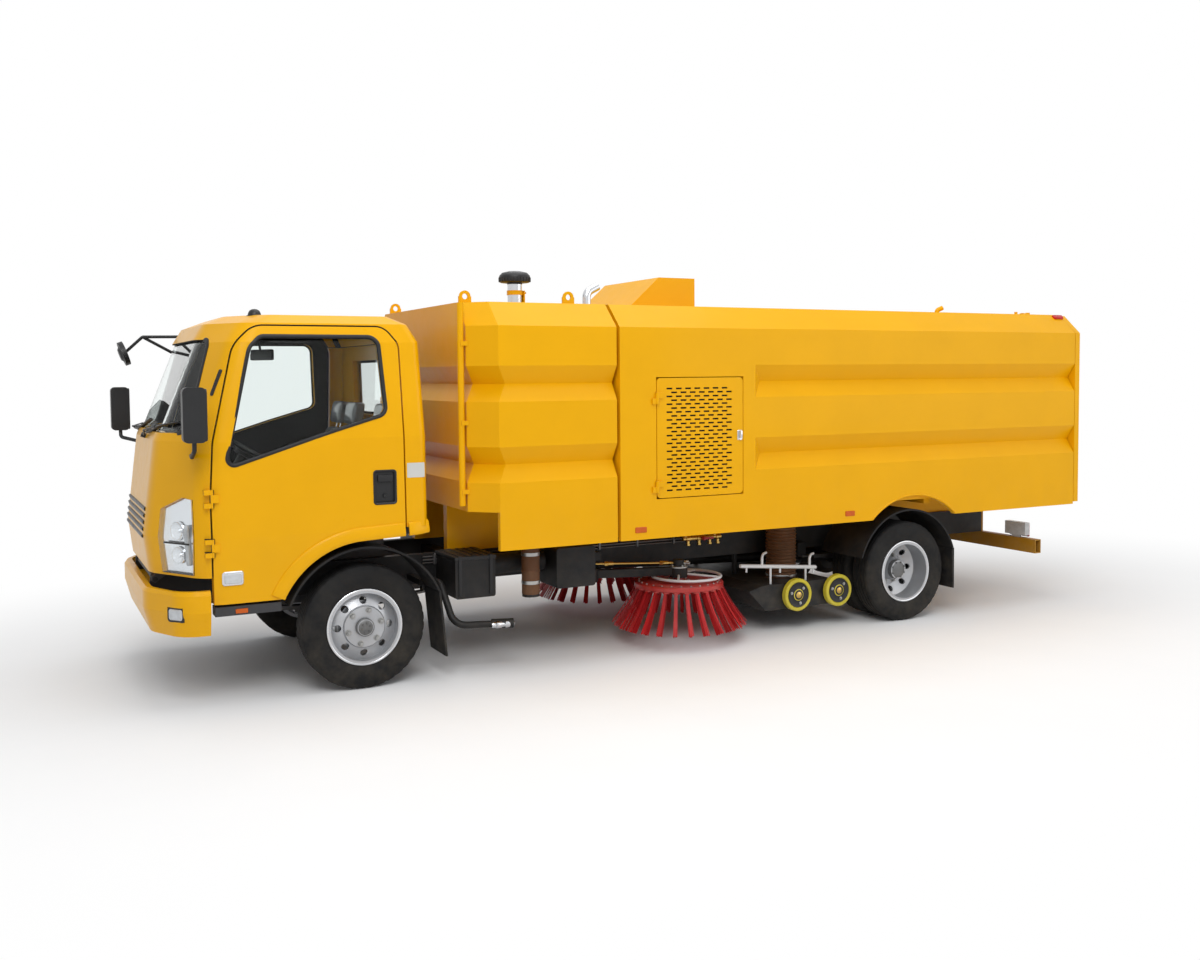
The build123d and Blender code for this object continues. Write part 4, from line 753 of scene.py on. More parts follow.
def add_tyre(bm, x, y):
    rings = []
    for step in range(TYRE_STEPS):
        turn = tau * step / TYRE_STEPS
        ring = []
        for offset, radius in tyre_section(step):
            ring.append(bm.verts.new(at(x + radius * cos(turn), y + offset, WHEEL_Z + radius * sin(turn))))
        rings.append(ring)
    for step in range(TYRE_STEPS):
        stitch(bm, rings[step], rings[(step + 1) % TYRE_STEPS])


def wheel_trim(name, body, x, sign, nuts, cap, cap_circle):
    """Nuts, valve, hub cap and rim lip on the outer face of the wheel node that has its body's name."""
    skin = tree_of(body)
    out = Vector((0, sign, 0))
    centre = at(x, 0, WHEEL_Z)

    def face(radius):
        """Point of the axle line level with the wheel's outer face at a radius."""
        place = hit(skin, at(x + radius, sign * 1500, WHEEL_Z), -out)[0]
        return Vector((centre.x, place.y, centre.z))

    disc = face(BOLT_CIRCLE)
    bm = bmesh.new()
    add_bolt_circle(bm, disc, out, BOLT_CIRCLE, nuts, 16, 18)
    add_rod(bm, disc + UP * 0.196 - out * 0.02, disc + UP * 0.190 + out * 0.02, 0.005)
    mesh_piece(f"{name}_nuts", bm, body, zinc)
    hub = face(10)
    bm = bmesh.new()
    add_lathe(bm, cap, hub, out, 48)
    add_bolt_circle(bm, hub + out * 0.001, out, cap_circle, nuts, 6, 5)
    mesh_piece(f"{name}_hub_cap", bm, body, hub_grey)
    lathe_piece(f"{name}_rim_lip", RIM_FLANGE, face(244), out, 96, body, bright, 50)


for side, sign in SIDES:
    bm = bmesh.new()
    add_tyre(bm, 0, sign * FRONT_TYRE_Y)
    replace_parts(mesh_piece(f"tyre_tread_front_{side}", bm, f"wheel_front_{side}", rubber, 28),
                f"tyre_front_{side}")
    bm = bmesh.new()
    for offset in REAR_TYRE_Y:
        add_tyre(bm, REAR_AXLE, sign * offset)
    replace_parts(mesh_piece(f"tyre_treads_rear_{side}", bm, f"wheels_rear_{side}", rubber, 28),
                f"tyres_rear_{side}")
    wheel_trim(f"front_wheel_{side}", f"wheel_front_{side}", 0, sign, 6, FRONT_CAP, 30)
    wheel_trim(f"rear_wheels_{side}", f"wheels_rear_{side}", REAR_AXLE, sign, 8, REAR_CAP, 64)

# Brooms: a red plate with bunches of flat strips that spread outwards
BROOM_X, BROOM_Y = 2505.0, 720.0
TUFTS, STRIPS = 26, 24
BRISTLE_TOP = 428
BRISTLE_HALF, BRISTLE_THICK = 0.0034, 0.0009
BROOM_PLATE = [(0, 483), (38, 483), (40, 480), (40, 463), (90, 461), (300, 459), (334, 455), (340, 448),
               (340, 424), (330, 419), (60, 419), (0, 419)]
FERRULE = [(0, 0), (27, 0), (30, 4), (30, 14), (0, 14)]
HOOP_RADIUS, HOOP_TUBE = 262, 11
HOOP_STRUTS = (45, 135, 225, 315)
MOTOR_COLLAR = [(66, 556), (71, 558), (71, 566), (60, 570), (44, 570), (44, 556), (66, 556)]
MOTOR_PORT_Z = 0.592
PORT_CAP = [(0, 0), (12, 0), (12, 16), (9, 20), (0, 20)]
TIE_BAR_SLEEVE = [(0, 0), (14, 0), (15, 6), (15, 40), (12, 46), (0, 46)]


def round_upright(angle, radius, height):
    """Offset in metres from millimetres round an upright axis."""
    return Vector((cos(angle) * radius, sin(angle) * radius, height)) * MM


def add_bristle(bm, middle, base, strip):
    """One flat bent strip of a bunch."""
    row = strip % 4
    lean = random.uniform(-0.010, 0.010)
    root = base + (strip // 4 - 2.5) * 0.0095 + random.uniform(-0.003, 0.003)
    inner = 288 + row * 14 + random.uniform(-3, 3)
    reach = 455 + row * 19 + random.uniform(-8, 8)
    low = 112 + row * 7 + random.uniform(0, 10)
    points = []
    for k in range(5):
        t = k / 4
        radius = inner + (reach - inner) * (0.75 * t + 0.25 * t * t)
        angle = root - (root - base) * 0.15 * t + lean * t
        points.append(middle + round_upright(angle, radius, BRISTLE_TOP + (low - BRISTLE_TOP) * t))
    across = Vector((-sin(root), cos(root), 0))
    frames = []
    for i, point in enumerate(points):
        frames.append((point, across, heading(points, i).cross(across).normalized()))
    half, thick = BRISTLE_HALF, BRISTLE_THICK
    add_sweep(bm, frames, [(-half, -thick), (half, -thick), (half, thick), (-half, thick)])


for side, sign in SIDES:
    broom, arm = f"broom_{side}", f"broom_arm_{side}"
    middle = at(BROOM_X, sign * BROOM_Y, 0)
    bm = bmesh.new()
    for tuft in range(TUFTS):
        for strip in range(STRIPS):
            add_bristle(bm, middle, tau * tuft / TUFTS, strip)
    bristles = mesh_piece(f"broom_bristles_{side}", bm, broom, red)
    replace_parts(bristles, f"broom_{side}")
    bm = bmesh.new()
    add_lathe(bm, BROOM_PLATE, middle, UP, 72)
    for tuft in range(TUFTS):
        add_lathe(bm, FERRULE, middle + round_upright(tau * tuft / TUFTS, 312, 408), UP, 14)
    mesh_piece(f"broom_plate_{side}", bm, broom, red_paint)
    bm = bmesh.new()
    add_bolt_circle(bm, middle + UP * 0.4595, UP, 76, 6, 9, 5)
    for tuft in range(TUFTS):
        add_hex(bm, middle + round_upright(tau * (tuft + 0.5) / TUFTS, 304, 458), UP, 0.008, 0.006)
    mesh_piece(f"broom_bolts_{side}", bm, broom, zinc)

    # Water hoop, motor fittings and tie bar on the arm
    hoop = at(BROOM_X + 70, sign * BROOM_Y, 486)
    bm = bmesh.new()
    tube = []
    for k in range(12):
        tube.append((HOOP_RADIUS + HOOP_TUBE * cos(tau * k / 12), HOOP_TUBE * sin(tau * k / 12)))
    add_lathe(bm, tube + tube[:1], hoop, UP, 72)
    for angle in HOOP_STRUTS:
        add_rod(bm, middle + UP * 0.510, hoop + round_upright(radians(angle), HOOP_RADIUS, 0), 0.009, 12)
    mesh_piece(f"broom_hoop_sleeve_{side}", bm, arm, white)
    bm = bmesh.new()
    add_lathe(bm, MOTOR_COLLAR, middle, UP, 40)
    add_bolt_circle(bm, middle + UP * 0.569, UP, 54, 4, 7, 6)
    port = middle + UP * MOTOR_PORT_Z
    for turn in (-0.1, 0.9):
        out = Vector((cos(turn), sign * sin(turn), 0))
        add_rod(bm, port, port + out * 0.075, 0.010)
        add_hex(bm, port + out * 0.046, out, 0.014, 0.014)
        add_lathe(bm, PORT_CAP, port + out * 0.072, out, 14)
    mesh_piece(f"broom_motor_fittings_{side}", bm, arm, zinc)
    near, far = at(1868, sign * 528, 606), at(2470, sign * 706, 590)
    along = (far - near).normalized()
    bm = bmesh.new()
    add_rod(bm, near, far, 0.009, 14)
    for spot in (near + along * 0.09, far - along * 0.11):
        add_hex(bm, spot, along, 0.018, 0.024)
        add_lathe(bm, TIE_BAR_SLEEVE, spot + along * 0.024, along, 18)
    mesh_piece(f"broom_tie_bar_{side}", bm, arm, brass)

# Suction hose with its flange and stay
HOSE_X, HOSE_Y = 3550.0, -600.0
HOSE_LOW, HOSE_HIGH = 381.0, 969.0
HOSE_BORE, HOSE_MEAN, HOSE_WAVE = 111.0, 120.5, 4.2
HOSE_POINTS = 22 * 6            # 22 ribs of 6 points
HOSE_FLANGE = [(112, 970), (152, 970), (155, 973), (155, 985), (152, 988), (112, 988), (112, 970)]
CLAMP_BAND = [(124.5, 0), (127, 0), (128, 2), (128, 14), (127, 16), (124.5, 16), (124.5, 0)]
hose_axis = at(HOSE_X, HOSE_Y, 0)
loop = []
for k in range(HOSE_POINTS + 1):
    height = HOSE_LOW + (HOSE_HIGH - HOSE_LOW) * k / HOSE_POINTS
    loop.append((HOSE_MEAN + HOSE_WAVE * cos(tau * k / 6), height))
loop += [(HOSE_BORE, HOSE_HIGH), (HOSE_BORE, HOSE_LOW)]
bm = bmesh.new()
add_lathe(bm, loop + loop[:1], hose_axis, UP, 64)
add_lathe(bm, HOSE_FLANGE, hose_axis, UP, 64)
add_block(bm, at(HOSE_X - 40, -465, 970), at(HOSE_X + 40, -404, 988), 0.003)
add_block(bm, at(HOSE_X - 40, -425, 770), at(HOSE_X + 40, -404, 988), 0.003)
ribbed = free_piece("suction_hose_ribbed", bm, brown, 40)
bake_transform(ribbed)
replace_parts(ribbed, "suction_hose")
for name, body, height in (("upper", "chassis", 946.0), ("lower", "pickup", 390.0)):
    bm = bmesh.new()
    add_lathe(bm, CLAMP_BAND, at(HOSE_X, HOSE_Y, height), UP, 64)
    add_block(bm, at(HOSE_X - 14, HOSE_Y - 146, height), at(HOSE_X + 14, HOSE_Y - 124, height + 16), 0.002)
    add_rod(bm, at(HOSE_X - 34, HOSE_Y - 137, height + 8), at(HOSE_X + 34, HOSE_Y - 137, height + 8), 0.004)
    mesh_piece(f"suction_hose_clamp_{name}", bm, body, zinc)

# Pickup head's rollers
ROLLER_Y, ROLLER_Z = 957, 290
ROLLER_HUB = [(0, 2), (36, 2), (42, -2), (60, -5), (92, -4), (97, -1), (98, -3), (96, -8), (60, -8), (0, -3)]
GREASE_CAP = [(0, 9), (12, 9), (17, 6), (24, 4), (26, 1), (0, 1)]
for side, sign in SIDES:
    for place, x in (("front", 3463.0), ("rear", 3863.0)):
        name = f"pickup_wheel_{place}_{side}"
        out = Vector((0, sign, 0))
        middle = at(x, sign * ROLLER_Y, ROLLER_Z)
        lathe_piece(f"{name}_hub", ROLLER_HUB, middle, out, 48, name, black)
        bm = bmesh.new()
        add_bolt_circle(bm, middle - out * 0.005, out, 68, 3, 9, 7)
        mesh_piece(f"{name}_bolts", bm, name, zinc)
        lathe_piece(f"{name}_grease_cap", GREASE_CAP, middle, out, 24, name, brass)

# Cab: seals, flares, lamps, handles and linings
WINDOW = rounded(stations(((-862, 1480), (-690, 2215), (-620, 2285), (120, 2285), (150, 1790), (40, 1760),
                           (-200, 1690))), [r * MM for r in (40, 120, 60, 70, 60, 200, 400)], 10)
WINDOW_SEAL = [(-0.010, -0.014), (0.013, -0.003), (0.014, 0.003), (0.006, 0.007), (-0.004, 0.006),
               (-0.010, 0.0)]
RECESS = rounded(stations(((56, 1211), (199, 1211), (199, 1424), (56, 1424))), [0.016] * 4, 5)
RECESS_RIM = [(-0.008, -0.012), (0.006, -0.002), (0.006, 0.003), (0.0, 0.005), (-0.008, 0.0)]
HANDLE_BLOCKS = (
    # stations, distances from the centre plane, heights, bevel
    ((59, 196), (986, 993), (1214, 1421), 0.002),
    ((78, 178), (990, 1015), (1352, 1398), 0.009),
)
LOCK = [(0, 12), (11, 12), (13, 9), (14, 0), (0, 0)]
FLARE_RADIUS = 665
FLARE = [(0.0, -0.004), (0.0, 0.003), (-0.010, 0.012), (-0.060, 0.018), (-0.080, 0.019), (-0.088, 0.014),
         (-0.088, -0.010), (-0.080, -0.010), (-0.080, 0.004), (-0.060, 0.004), (-0.010, 0.0)]
VENT_SLOPE = Vector((58, 0, 163)).normalized()
ROOF_MARKER = [(0, 42), (16, 40), (30, 32), (39, 16), (42, 2), (50, 0), (50, -8), (0, -8)]
FOG_LAMP_TURN = radians(38)
LAMP_OUT = (0.852, 0.524)       # ahead and outward parts of the way a headlamp faces
DIVIDER = [(-0.005, -0.008), (0.005, -0.008), (0.005, 0.0012), (-0.005, 0.0012)]


def add_flare(bm, first, last, sign):
    """Wheel-arch flare on the cab's side between two stations."""
    path = []
    for k in range(25):
        angle = radians(155 - 60 * k / 24)
        path.append(Vector((FLARE_RADIUS * cos(angle), WHEEL_Z + FLARE_RADIUS * sin(angle))))
    for x in (40, 130, 240, 252, 278, 340, 416):
        path.append(Vector((x, 1068 + 0.043 * (x + 58))))
    path = [point for point in path if first <= point.x <= last]
    frames = []
    for i, point in enumerate(path):
        along = heading(path, i)
        place, lift = side_skin(point.x, point.y, sign)
        across = Vector((-along.y, 0, along.x))
        across = (across - lift * across.dot(lift)).normalized()
        frames.append((place, across, lift))
    add_sweep(bm, frames, FLARE)


def headlamp_bowl(radius):
    return [(radius, -9), (radius - 4, -8), (radius * 0.8, -14), (radius * 0.45, -19), (14, -20), (13, -12),
            (0, -10), (0, -22), (radius, -22), (radius, -9)]


for side, sign in SIDES:
    door = f"door_{side}"
    out = Vector((0, sign, 0))
    start = out * OUTSIDE * MM
    sweep_piece(f"window_seal_{side}", skin_frames(cab_skin, WINDOW, start, -out, 0.016), WINDOW_SEAL, door,
                seal, 60, closed=True)
    for name, first, last, body in ((f"door_{side}", -700, 252, door), (f"cab_{side}", 278, 420, "cab")):
        bm = bmesh.new()
        add_flare(bm, first, last, sign)
        mesh_piece(f"arch_flare_{name}", bm, body, cab_paint, 50)

    # Door handle in its recess
    bm = bmesh.new()
    add_sweep(bm, skin_frames(cab_skin, RECESS, start, -out, 0.012), RECESS_RIM, closed=True)
    for (x0, x1), depths, (z0, z1), bevel in HANDLE_BLOCKS:
        y0, y1 = sorted(sign * depth for depth in depths)
        add_block(bm, at(x0, y0, z0), at(x1, y1, z1), bevel)
    add_lathe(bm, LOCK, at(128, sign * 992, 1262), out, 24)
    mesh_piece(f"door_handle_{side}", bm, door, black)

    # Side marker with its bright frame, sill reflector, blank plate, pillar vent and roof marker
    spot = side_skin(-832, 808, sign)
    panel_piece(f"side_marker_frame_{side}", (128, 88, 18), spot, (-0.006, 0.009, 0.004), door, bright)
    panel_piece(f"side_marker_lens_{side}", (104, 62, 12), spot, (0.007, 0.015, 0.004), door, smoke)
    panel_piece(f"sill_reflector_{side}", (74, 28, 6), (at(-780, sign * 975, 600), out),
                (-0.003, 0.006, 0.002), "cab", amber)
    panel_piece(f"blank_plate_{side}", (118, 96, 5), side_skin(336, 1419, sign), (-0.003, 0.0015, 0.0005),
                "cab", pale)
    place, lift = side_skin(-884, 2001, sign)
    v = (VENT_SLOPE - lift * VENT_SLOPE.dot(lift)).normalized()
    u = v.cross(lift)
    bm = bmesh.new()
    add_panel(bm, slab(26, 172, 11), place, u, v, -0.008, 0.006, 0.003)
    for k in range(9):
        add_panel(bm, slab(18, 7, 2), place + v * (k - 4) * 0.0165, u, v, 0.004, 0.009, 0.001)
    mesh_piece(f"pillar_vent_{side}", bm, "cab", black)
    place = hit(cab_skin, at(-600, sign * 640, 2800), -UP)[0]
    lathe_piece(f"roof_marker_{side}", ROOF_MARKER, place, UP, 32, "cab", black)

    # Fog lamp in the bumper's corner
    fog = (at(-1150, sign * 900, 600), Vector((-cos(FOG_LAMP_TURN), sign * sin(FOG_LAMP_TURN), 0)))
    panel_piece(f"fog_lamp_frame_{side}", (136, 94, 22), fog, (-0.012, 0.009, 0.003), "chassis", black)
    panel_piece(f"fog_lamp_lens_{side}", (108, 68, 16), fog, (0.006, 0.014, 0.005), "chassis", smoke)

    # Headlamp bowls, turn lens and divider behind and on the lens
    facing = Vector((-LAMP_OUT[0], sign * LAMP_OUT[1], 0))
    along = Vector((LAMP_OUT[1], sign * LAMP_OUT[0], 0))
    for name, z, radius in (("dip", 1095, 60), ("main", 945, 56)):
        place = hit(lamp_skin, at(-1130, sign * 800, z) + facing * 0.5, -facing)[0]
        lathe_piece(f"headlamp_bowl_{name}_{side}", headlamp_bowl(radius), place, facing, 40, "cab",
                    reflector)
    panel_piece(f"headlamp_turn_lens_{side}", (34, 250, 8), side_skin(-1085, 1010, sign),
                (-0.022, -0.008, 0.003), "cab", smoke)
    middle = at(-1130, sign * 800, 1020) + facing * 0.5
    starts = [middle + along * (k - 6) * 0.019 for k in range(13)]
    sweep_piece(f"headlamp_divider_{side}", level_frames(cab_skin, starts, -facing), DIVIDER, "cab", black)
    shell_piece(f"door_lining_{side}", door, lambda centre, normal: normal.y * sign < -0.6, 0.0005, 0.005,
                door, lining)


def lamp_front(centre, normal):
    outward = LAMP_OUT[1] if centre.y > 0 else -LAMP_OUT[1]
    return normal.dot(Vector((-LAMP_OUT[0], outward, 0))) > 0.55


def faces_cabin(centre, normal):
    return normal.dot((at(-350, 0, 1600) - centre).normalized()) > 0.35


lenses = shell_piece("headlamp_lenses", "headlamps", lamp_front, -0.004, 0.0, "cab", lens)
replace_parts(lenses, "headlamps")
shell_piece("headlamp_backs", "headlamps", lamp_front, -0.0265, -0.0235, "cab", reflector)
shell_piece("headliner", "cab_roof", lambda centre, normal: normal.z < -0.5, 0.0005, 0.006, "cab", lining)
shell_piece("front_lining", "cab_front", faces_cabin, 0.0005, 0.004, "cab", lining)

# Windscreen and rear window seals, wipers and front grille
SCREEN = rounded([(-0.8, 1.69), (0.8, 1.69), (0.69, 2.27), (-0.69, 2.27)], [0.06] * 4, 8)
SCREEN_SEAL = [(-0.018, -0.016), (0.012, -0.003), (0.013, 0.003), (0.0, 0.008), (-0.018, 0.0)]
REAR_WINDOW = rounded([(-0.52, 1.75), (0.52, 1.75), (0.52, 2.15), (-0.52, 2.15)], [0.012] * 4, 4)
REAR_SEAL = [(-0.018, -0.016), (0.016, -0.003), (0.018, 0.003), (0.0, 0.009), (-0.018, 0.0)]
WIPER_BLADE = [(-0.003, 0.002), (0.003, 0.002), (0.006, 0.016), (0.004, 0.030), (-0.004, 0.030),
               (-0.006, 0.016)]
WIPERS = (("left", (-60, 1650), (-690, 1752)), ("right", (640, 1650), (10, 1752)))
SLAT = [(-0.012, -0.004), (0.012, -0.004), (0.012, 0.002), (0.004, 0.010), (-0.012, 0.006)]
SLAT_ROWS = [1040 + row * 42 for row in range(5)]
frames = skin_frames(front_skin, SCREEN, at(AHEAD, 0, 0), REARWARD, 0.014)
sweep_piece("windscreen_seal", frames, SCREEN_SEAL, "cab", seal, 60, closed=True)
frames = skin_frames(tree_of("cab_rear", "cab_roof"), REAR_WINDOW, at(-AHEAD, 0, 0), -REARWARD, 0.02)
sweep_piece("rear_window_seal", frames, REAR_SEAL, "cab", seal, 60, closed=True)


def on_screen(foot, tip, share):
    """Point of the windscreen a share of the way from foot to tip, each (y, z), with its normal."""
    y, z = (a + (b - a) * share for a, b in zip(foot, tip))
    return hit(glass_skin, at(AHEAD, y, z), REARWARD)


for name, foot, tip in WIPERS:
    bm = bmesh.new()
    place, lift = on_screen(foot, tip, 0.0)
    (knee, knee_lift), (grip, grip_lift) = on_screen(foot, tip, 0.3), on_screen(foot, tip, 0.6)
    knee += knee_lift * 0.045
    add_rod(bm, place - lift * 0.02, place + lift * 0.030, 0.016, 16)
    add_rod(bm, place + lift * 0.012, knee, 0.007)
    add_rod(bm, knee, grip + grip_lift * 0.034, 0.005)
    blade = [on_screen(foot, tip, 0.22 + 0.78 * k / 12) for k in range(13)]
    across = (blade[-1][0] - blade[0][0]).cross(blade[0][1]).normalized()
    add_sweep(bm, [(place, across, lift) for place, lift in blade], WIPER_BLADE)
    mesh_piece(f"wiper_{name}", bm, "cab", black)

bm = bmesh.new()
for z in SLAT_ROWS:
    starts = [at(AHEAD, -480 + 960 * k / 14, z) for k in range(15)]
    add_sweep(bm, level_frames(front_skin, starts, REARWARD), SLAT)
mesh_piece("front_grille_slats", bm, "cab", black, 50)

# Mirror faces and the inside mirror
MIRRORS = [at(-990, -1150, 1812), at(-1200, 1170, 1802)]
MIRROR_RIM = [(-0.003, -0.004), (0.004, -0.004), (0.004, 0.004), (-0.003, 0.006)]
bm = bmesh.new()
for place in MIRRORS:
    add_panel(bm, slab(66, 296, 18), place, *upright_axes(REARWARD), -0.004, 0.003, 0.001)
mesh_piece("mirror_faces", bm, "cab", mirror_glass)
bm = bmesh.new()
for place in MIRRORS:
    frames = []
    for spot, out in with_normals(slab(70, 300, 20)):
        frames.append((place + Vector((0, spot.x, spot.y)), Vector((0, out.x, out.y)), REARWARD))
    add_sweep(bm, frames, MIRROR_RIM, closed=True)
mesh_piece("mirror_rims", bm, "cab", black)
bm = bmesh.new()
add_block(bm, at(-448, -122, 2148), at(-420, 122, 2224), 0.012, Matrix.Rotation(radians(25), 3, "Z"))
add_rod(bm, at(-440, 0, 2186), at(-470, 0, 2398), 0.008)
add_lathe(bm, [(0, 0), (26, 0), (24, -8), (0, -10)], at(-470, 0, 2398), UP, 20)
mesh_piece("inside_mirror", bm, "cab", black)

# Seats: crowned cushions with sewn channels
SEATS = (
    # middle, half width, head rests, sewn channels from edge to edge of -1 to 1
    (-560.0, 250.0, (-560.0,), (-0.55, 0.55)),
    (380.0, 420.0, (180.0, 580.0), (-0.72, -0.05, 0.05, 0.72)),
)
CUSHION = ((-418, 1052), (178, 1052), (180, 1140), (-436, 1172))
BACK = ((36, 1136), (184, 1116), (288, 1636), (190, 1652))
HEAD_REST = ((208, 1682), (288, 1674), (312, 1838), (238, 1846))
HEAD_REST_HALF = 138.0
SQUARENESS = 7                  # power of the rounded box that a pad is
EDGE_PULL, CHANNEL_DEPTH, CHANNEL_HALF = 6.0, 7.0, 12.0


def add_cushion(bm, quad, middle_y, half, crowned, crown, channels):
    """Rounded pad over a side-view quad (front low, rear low, rear top, front top), crowned on one side."""
    made = bmesh.ops.create_cube(bm, size=2.0)
    edges = list({edge for v in made["verts"] for edge in v.link_edges})
    first = len(bm.verts) - 8
    bmesh.ops.subdivide_edges(bm, edges=edges, cuts=23, use_grid_fill=True)
    bm.verts.ensure_lookup_table()
    corners = [Vector(corner) for corner in quad]
    front = corners[3] - corners[0]
    normal = Vector((front.y, -front.x)).normalized()
    for v in bm.verts[first:]:
        size = sum(abs(part) ** SQUARENESS for part in v.co) ** (1 / SQUARENESS)
        a, b, c = (part / size for part in v.co)
        s, t = (a + 1) / 2, (b + 1) / 2
        spot = corners[0].lerp(corners[3], t).lerp(corners[1].lerp(corners[2], t), s)
        face, along = (b, a) if crowned == "top" else (-a, b)
        swell = crown * (1 - along * along) * (1 - c ** 4) * max(0.0, face) ** 2
        pull = EDGE_PULL * (1 - along * along) * abs(c) ** 8
        for line in channels:
            depth = max(0.0, 1 - abs(c - line) * half / CHANNEL_HALF)
            swell -= CHANNEL_DEPTH * max(0.0, face) ** 3 * depth
        spot += Vector((0, swell)) if crowned == "top" else normal * -swell
        v.co = at(spot.x, middle_y + c * (half - pull), spot.y)


bm = bmesh.new()
for y, half, heads, lines in SEATS:
    add_cushion(bm, CUSHION, y, half, "top", 26.0, lines)
    add_cushion(bm, BACK, y, half, "front", 24.0, lines)
    for head in heads:
        add_cushion(bm, HEAD_REST, head, HEAD_REST_HALF, "front", 10.0, ())
pads = mesh_piece("seat_pads", bm, "cab", cloth, 60)
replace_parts(pads, "seats")
bm = bmesh.new()
for y, half, heads, lines in SEATS:
    for head in heads:
        for offset in (-55, 55):
            add_rod(bm, at(232, head + offset, 1610), at(256, head + offset, 1700), 0.006)
mesh_piece("headrest_posts", bm, "cab", bright)

# Body: grille screen, latch, reflectors, arch lips, lamps, catches and pre-cleaner
BODY_HALF = 1150                # distance of the body's sides from the centre plane
ARCH_RADIUS = 0.632
ARCH_LIP = [(0.0, -0.010), (0.014, -0.010), (0.014, 0.002), (0.010, 0.006), (0.004, 0.006), (0.0, 0.002)]
TAIL_LENSES = (("stop", 842, 926, red_lens), ("turn", 774, 838, amber), ("reverse", 704, 770, smoke))
PRE_CLEANER = at(1215, -620, 0)
MUSHROOM = [(0, 2769), (50, 2767), (90, 2757), (108, 2738), (111, 2728), (111, 2704), (108, 2692),
            (100, 2688), (54, 2688), (54, 2676), (0, 2676)]
COLLAR = [(52, 2600), (57, 2600), (57, 2632), (52, 2632), (52, 2600)]
bm = bmesh.new()
add_block(bm, at(2128, -1140, 1180), at(2752, -1136, 1975))
for k in range(38):
    x = 2144 + k * 16
    add_rod(bm, at(x, -1141, 1182), at(x, -1141, 1973), 0.0014, 6)
mesh_piece("grille_screen", bm, "grille", lining)
bm = bmesh.new()
latch_axes = upright_axes(Vector((0, -1, 0)))
add_panel(bm, slab(44, 74, 8), at(2774, -BODY_HALF, 1579), *latch_axes, -0.004, 0.007, 0.003)
add_block(bm, at(2764, -1176, 1558), at(2784, -1154, 1612), 0.005)
add_rod(bm, at(2774, -1158, 1552), at(2774, -1164, 1552), 0.010)
mesh_piece("grille_latch", bm, "grille", bright)
tailgate_skin = tree_of("tailgate")
for side, sign in SIDES:
    out = Vector((0, sign, 0))
    for name, x in (("front", 1935), ("rear", 3809)):
        panel_piece(f"skirt_reflector_{name}_{side}", (92, 40, 6), (at(x, sign * BODY_HALF, 932), out),
                    (-0.004, 0.007, 0.003), "hopper", amber)
    frames = []
    for k in range(41):
        turn = radians(46.6 + 86.8 * k / 40)
        spoke = Vector((cos(turn), 0, sin(turn)))
        frames.append((at(REAR_AXLE, sign * BODY_HALF, WHEEL_Z) + spoke * ARCH_RADIUS, spoke, out))
    sweep_piece(f"rear_arch_lip_{side}", frames, ARCH_LIP, "hopper", paint, 50)
    for name, low, high, material in TAIL_LENSES:
        spot = (at(6014, sign * (low + high) / 2, 622), REARWARD)
        panel_piece(f"tail_lens_{name}_{side}", (high - low, 118, 8), spot, (-0.004, 0.010, 0.004), "chassis",
                    material)
    bm = bmesh.new()
    for z in (1010.0, 1210.0):
        place = hit(tailgate_skin, at(7000, sign * 950, z), -REARWARD)[0]
        add_panel(bm, slab(70, 120, 10), place, *upright_axes(REARWARD), -0.004, 0.008, 0.003)
        add_rod(bm, place + Vector((0, 0, -0.04)), place + Vector((0.026, 0, -0.04)), 0.012, 16)
        add_block(bm, place + Vector((0.020, -0.012, -0.052)), place + Vector((0.030, 0.012, 0.048)), 0.004)
    mesh_piece(f"tailgate_catches_{side}", bm, "tailgate", zinc)
hopper_skin = tree_of("hopper_roof", "hopper_sides", "tailgate")
for side, sign in SIDES:
    spot = hit(hopper_skin, at(6240, sign * OUTSIDE, 2500), (0, -sign, 0))
    panel_piece(f"top_marker_{side}", (112, 44, 12), spot, (-0.006, 0.020, 0.008), "hopper", red_lens)
bm = bmesh.new()
add_lathe(bm, MUSHROOM, PRE_CLEANER, UP, 56)
for k in range(28):
    turn = tau * k / 28
    low, high = round_upright(turn, 111.5, 2693), round_upright(turn, 112.5, 2724)
    add_rod(bm, PRE_CLEANER + low, PRE_CLEANER + high, 0.0028, 6)
mesh_piece("pre_cleaner_cap", bm, "chassis", black)
bm = bmesh.new()
add_lathe(bm, COLLAR, PRE_CLEANER, UP, 40)
add_block(bm, at(1270, -660, 2524), at(1278, -580, 2632), 0.003)
add_block(bm, at(1262, -664, 2522), at(1330, -576, 2532), 0.003)
for y in (-640, -600):
    add_rod(bm, at(1258, y, 2616), at(1292, y, 2616), 0.007, 6)
mesh_piece("pre_cleaner_bracket", bm, "chassis", paint)

# Under the body: spray heads, filter canister, battery lid, pipes and the water manifold
SPRAY_HEAD = [(0, 0), (17, 0), (21, 6), (21, 30), (26, 34), (26, 70), (22, 76), (22, 96), (28, 104),
              (28, 140), (24, 158), (16, 169), (15, 169), (15, 150), (0, 150)]
CANISTER_PLACE = at(1235, -800, 0)
CANISTER = [(0, 468), (40, 470), (58, 478), (63.5, 492), (63.5, 640), (66, 644), (66, 656), (63.5, 660),
            (63.5, 846), (58, 861), (0, 862)]
STRAP = [(63, 0), (66, 0), (66.5, 4), (66.5, 20), (66, 24), (63, 24), (63, 0)]
RAIL_PIPES = ((-436, 706, 0.007), (-438, 728, 0.009), (-436, 750, 0.006))
MANIFOLD_Y, MANIFOLD_Z = -560, 742
OUTLET_COLLAR = [(0, -22), (22, -22), (23, -18), (23, 18), (22, 22), (0, 22)]


def midway(values):
    return (min(values) + max(values)) / 2


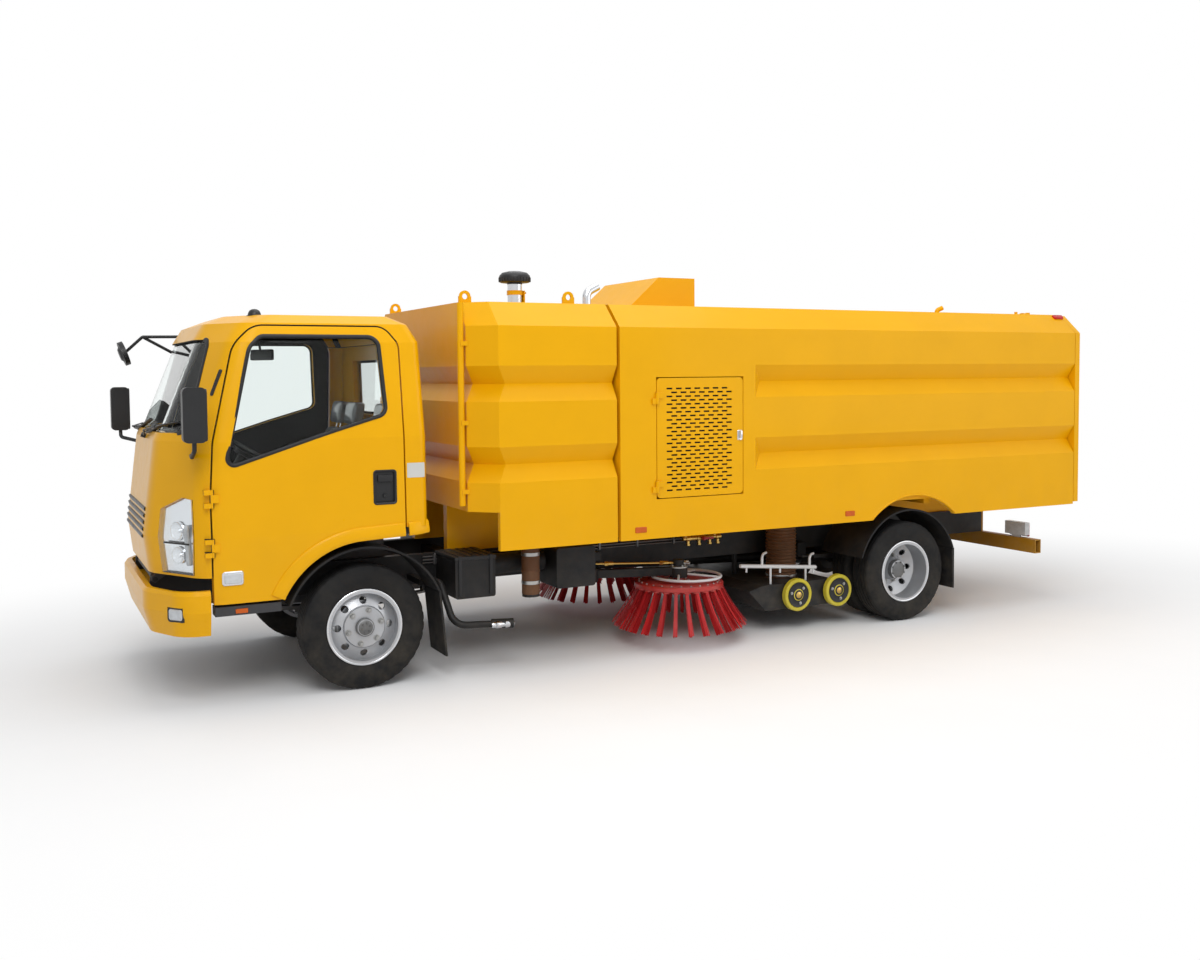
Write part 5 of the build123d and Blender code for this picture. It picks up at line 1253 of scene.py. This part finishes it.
nozzle_points = [v.co for v in nodes["spray_nozzles"].data.vertices if v.co.x > at(1020, 0, 0).x]
for side, sign in SIDES:
    spots = [point for point in nozzle_points if point.y * sign > 0]
    middle = Vector((at(888, 0, 0).x, midway([v.y for v in spots]), midway([v.z for v in spots])))
    lathe_piece(f"spray_head_{side}", SPRAY_HEAD, middle, REARWARD, 36, "chassis", bright)
lathe_piece("filter_canister", CANISTER, CANISTER_PLACE, UP, 48, "chassis", brown)
bm = bmesh.new()
for z in (560.0, 760.0):
    add_lathe(bm, STRAP, CANISTER_PLACE + UP * z * MM, UP, 48)
    add_block(bm, at(1222, -742, z), at(1248, -724, z + 24), 0.002)
mesh_piece("canister_straps", bm, "chassis", zinc)
bm = bmesh.new()
add_block(bm, at(660, -826, 764), at(966, -424, 792), 0.008)
for x in range(690, 915, 56):
    add_block(bm, at(x, -806, 790), at(x + 22, -440, 797), 0.003)
for x in (700, 926):
    add_block(bm, at(x - 12, -829, 520), at(x + 12, -818, 796), 0.003)
mesh_piece("battery_lid", bm, "chassis", black)
bm = bmesh.new()
for y, z, radius in RAIL_PIPES:
    add_rod(bm, at(560, y, z), at(2950, y, z), radius, 12)
for x in range(640, 2950, 330):
    add_block(bm, at(x, -450, 694), at(x + 18, -424, 764), 0.003)
    add_hex(bm, at(x + 9, -448, 764), UP, 0.008, 0.007)
mesh_piece("rail_pipes", bm, "chassis", steel)
bm = bmesh.new()
add_rod(bm, at(2640, MANIFOLD_Y, MANIFOLD_Z), at(2990, MANIFOLD_Y, MANIFOLD_Z), 0.017, 20)
for x in (2690, 2790, 2890, 2965):
    outlet = at(x, MANIFOLD_Y, MANIFOLD_Z)
    add_lathe(bm, OUTLET_COLLAR, outlet, REARWARD, 20)
    add_rod(bm, outlet, at(x, MANIFOLD_Y, 694), 0.013, 14)
    add_hex(bm, at(x, MANIFOLD_Y, 700), -UP, 0.019, 0.014)
for x in (2660, 2930):
    add_block(bm, at(x - 10, -576, 757), at(x + 10, -420, 763), 0.002)
mesh_piece("water_manifold", bm, "chassis", brass)
bm = bmesh.new()
add_rod(bm, at(2811, MANIFOLD_Y, MANIFOLD_Z), at(2811, -606, MANIFOLD_Z), 0.014, 16)
add_lathe(bm, [(0, 0), (14, 0), (16, 6), (12, 12), (0, 12)], at(2811, -604, MANIFOLD_Z), (0, -1, 0), 20)
add_block(bm, at(2800, -622, 734), at(2890, -615, 752), 0.003)
mesh_piece("water_valve_lever", bm, "chassis", red_paint)
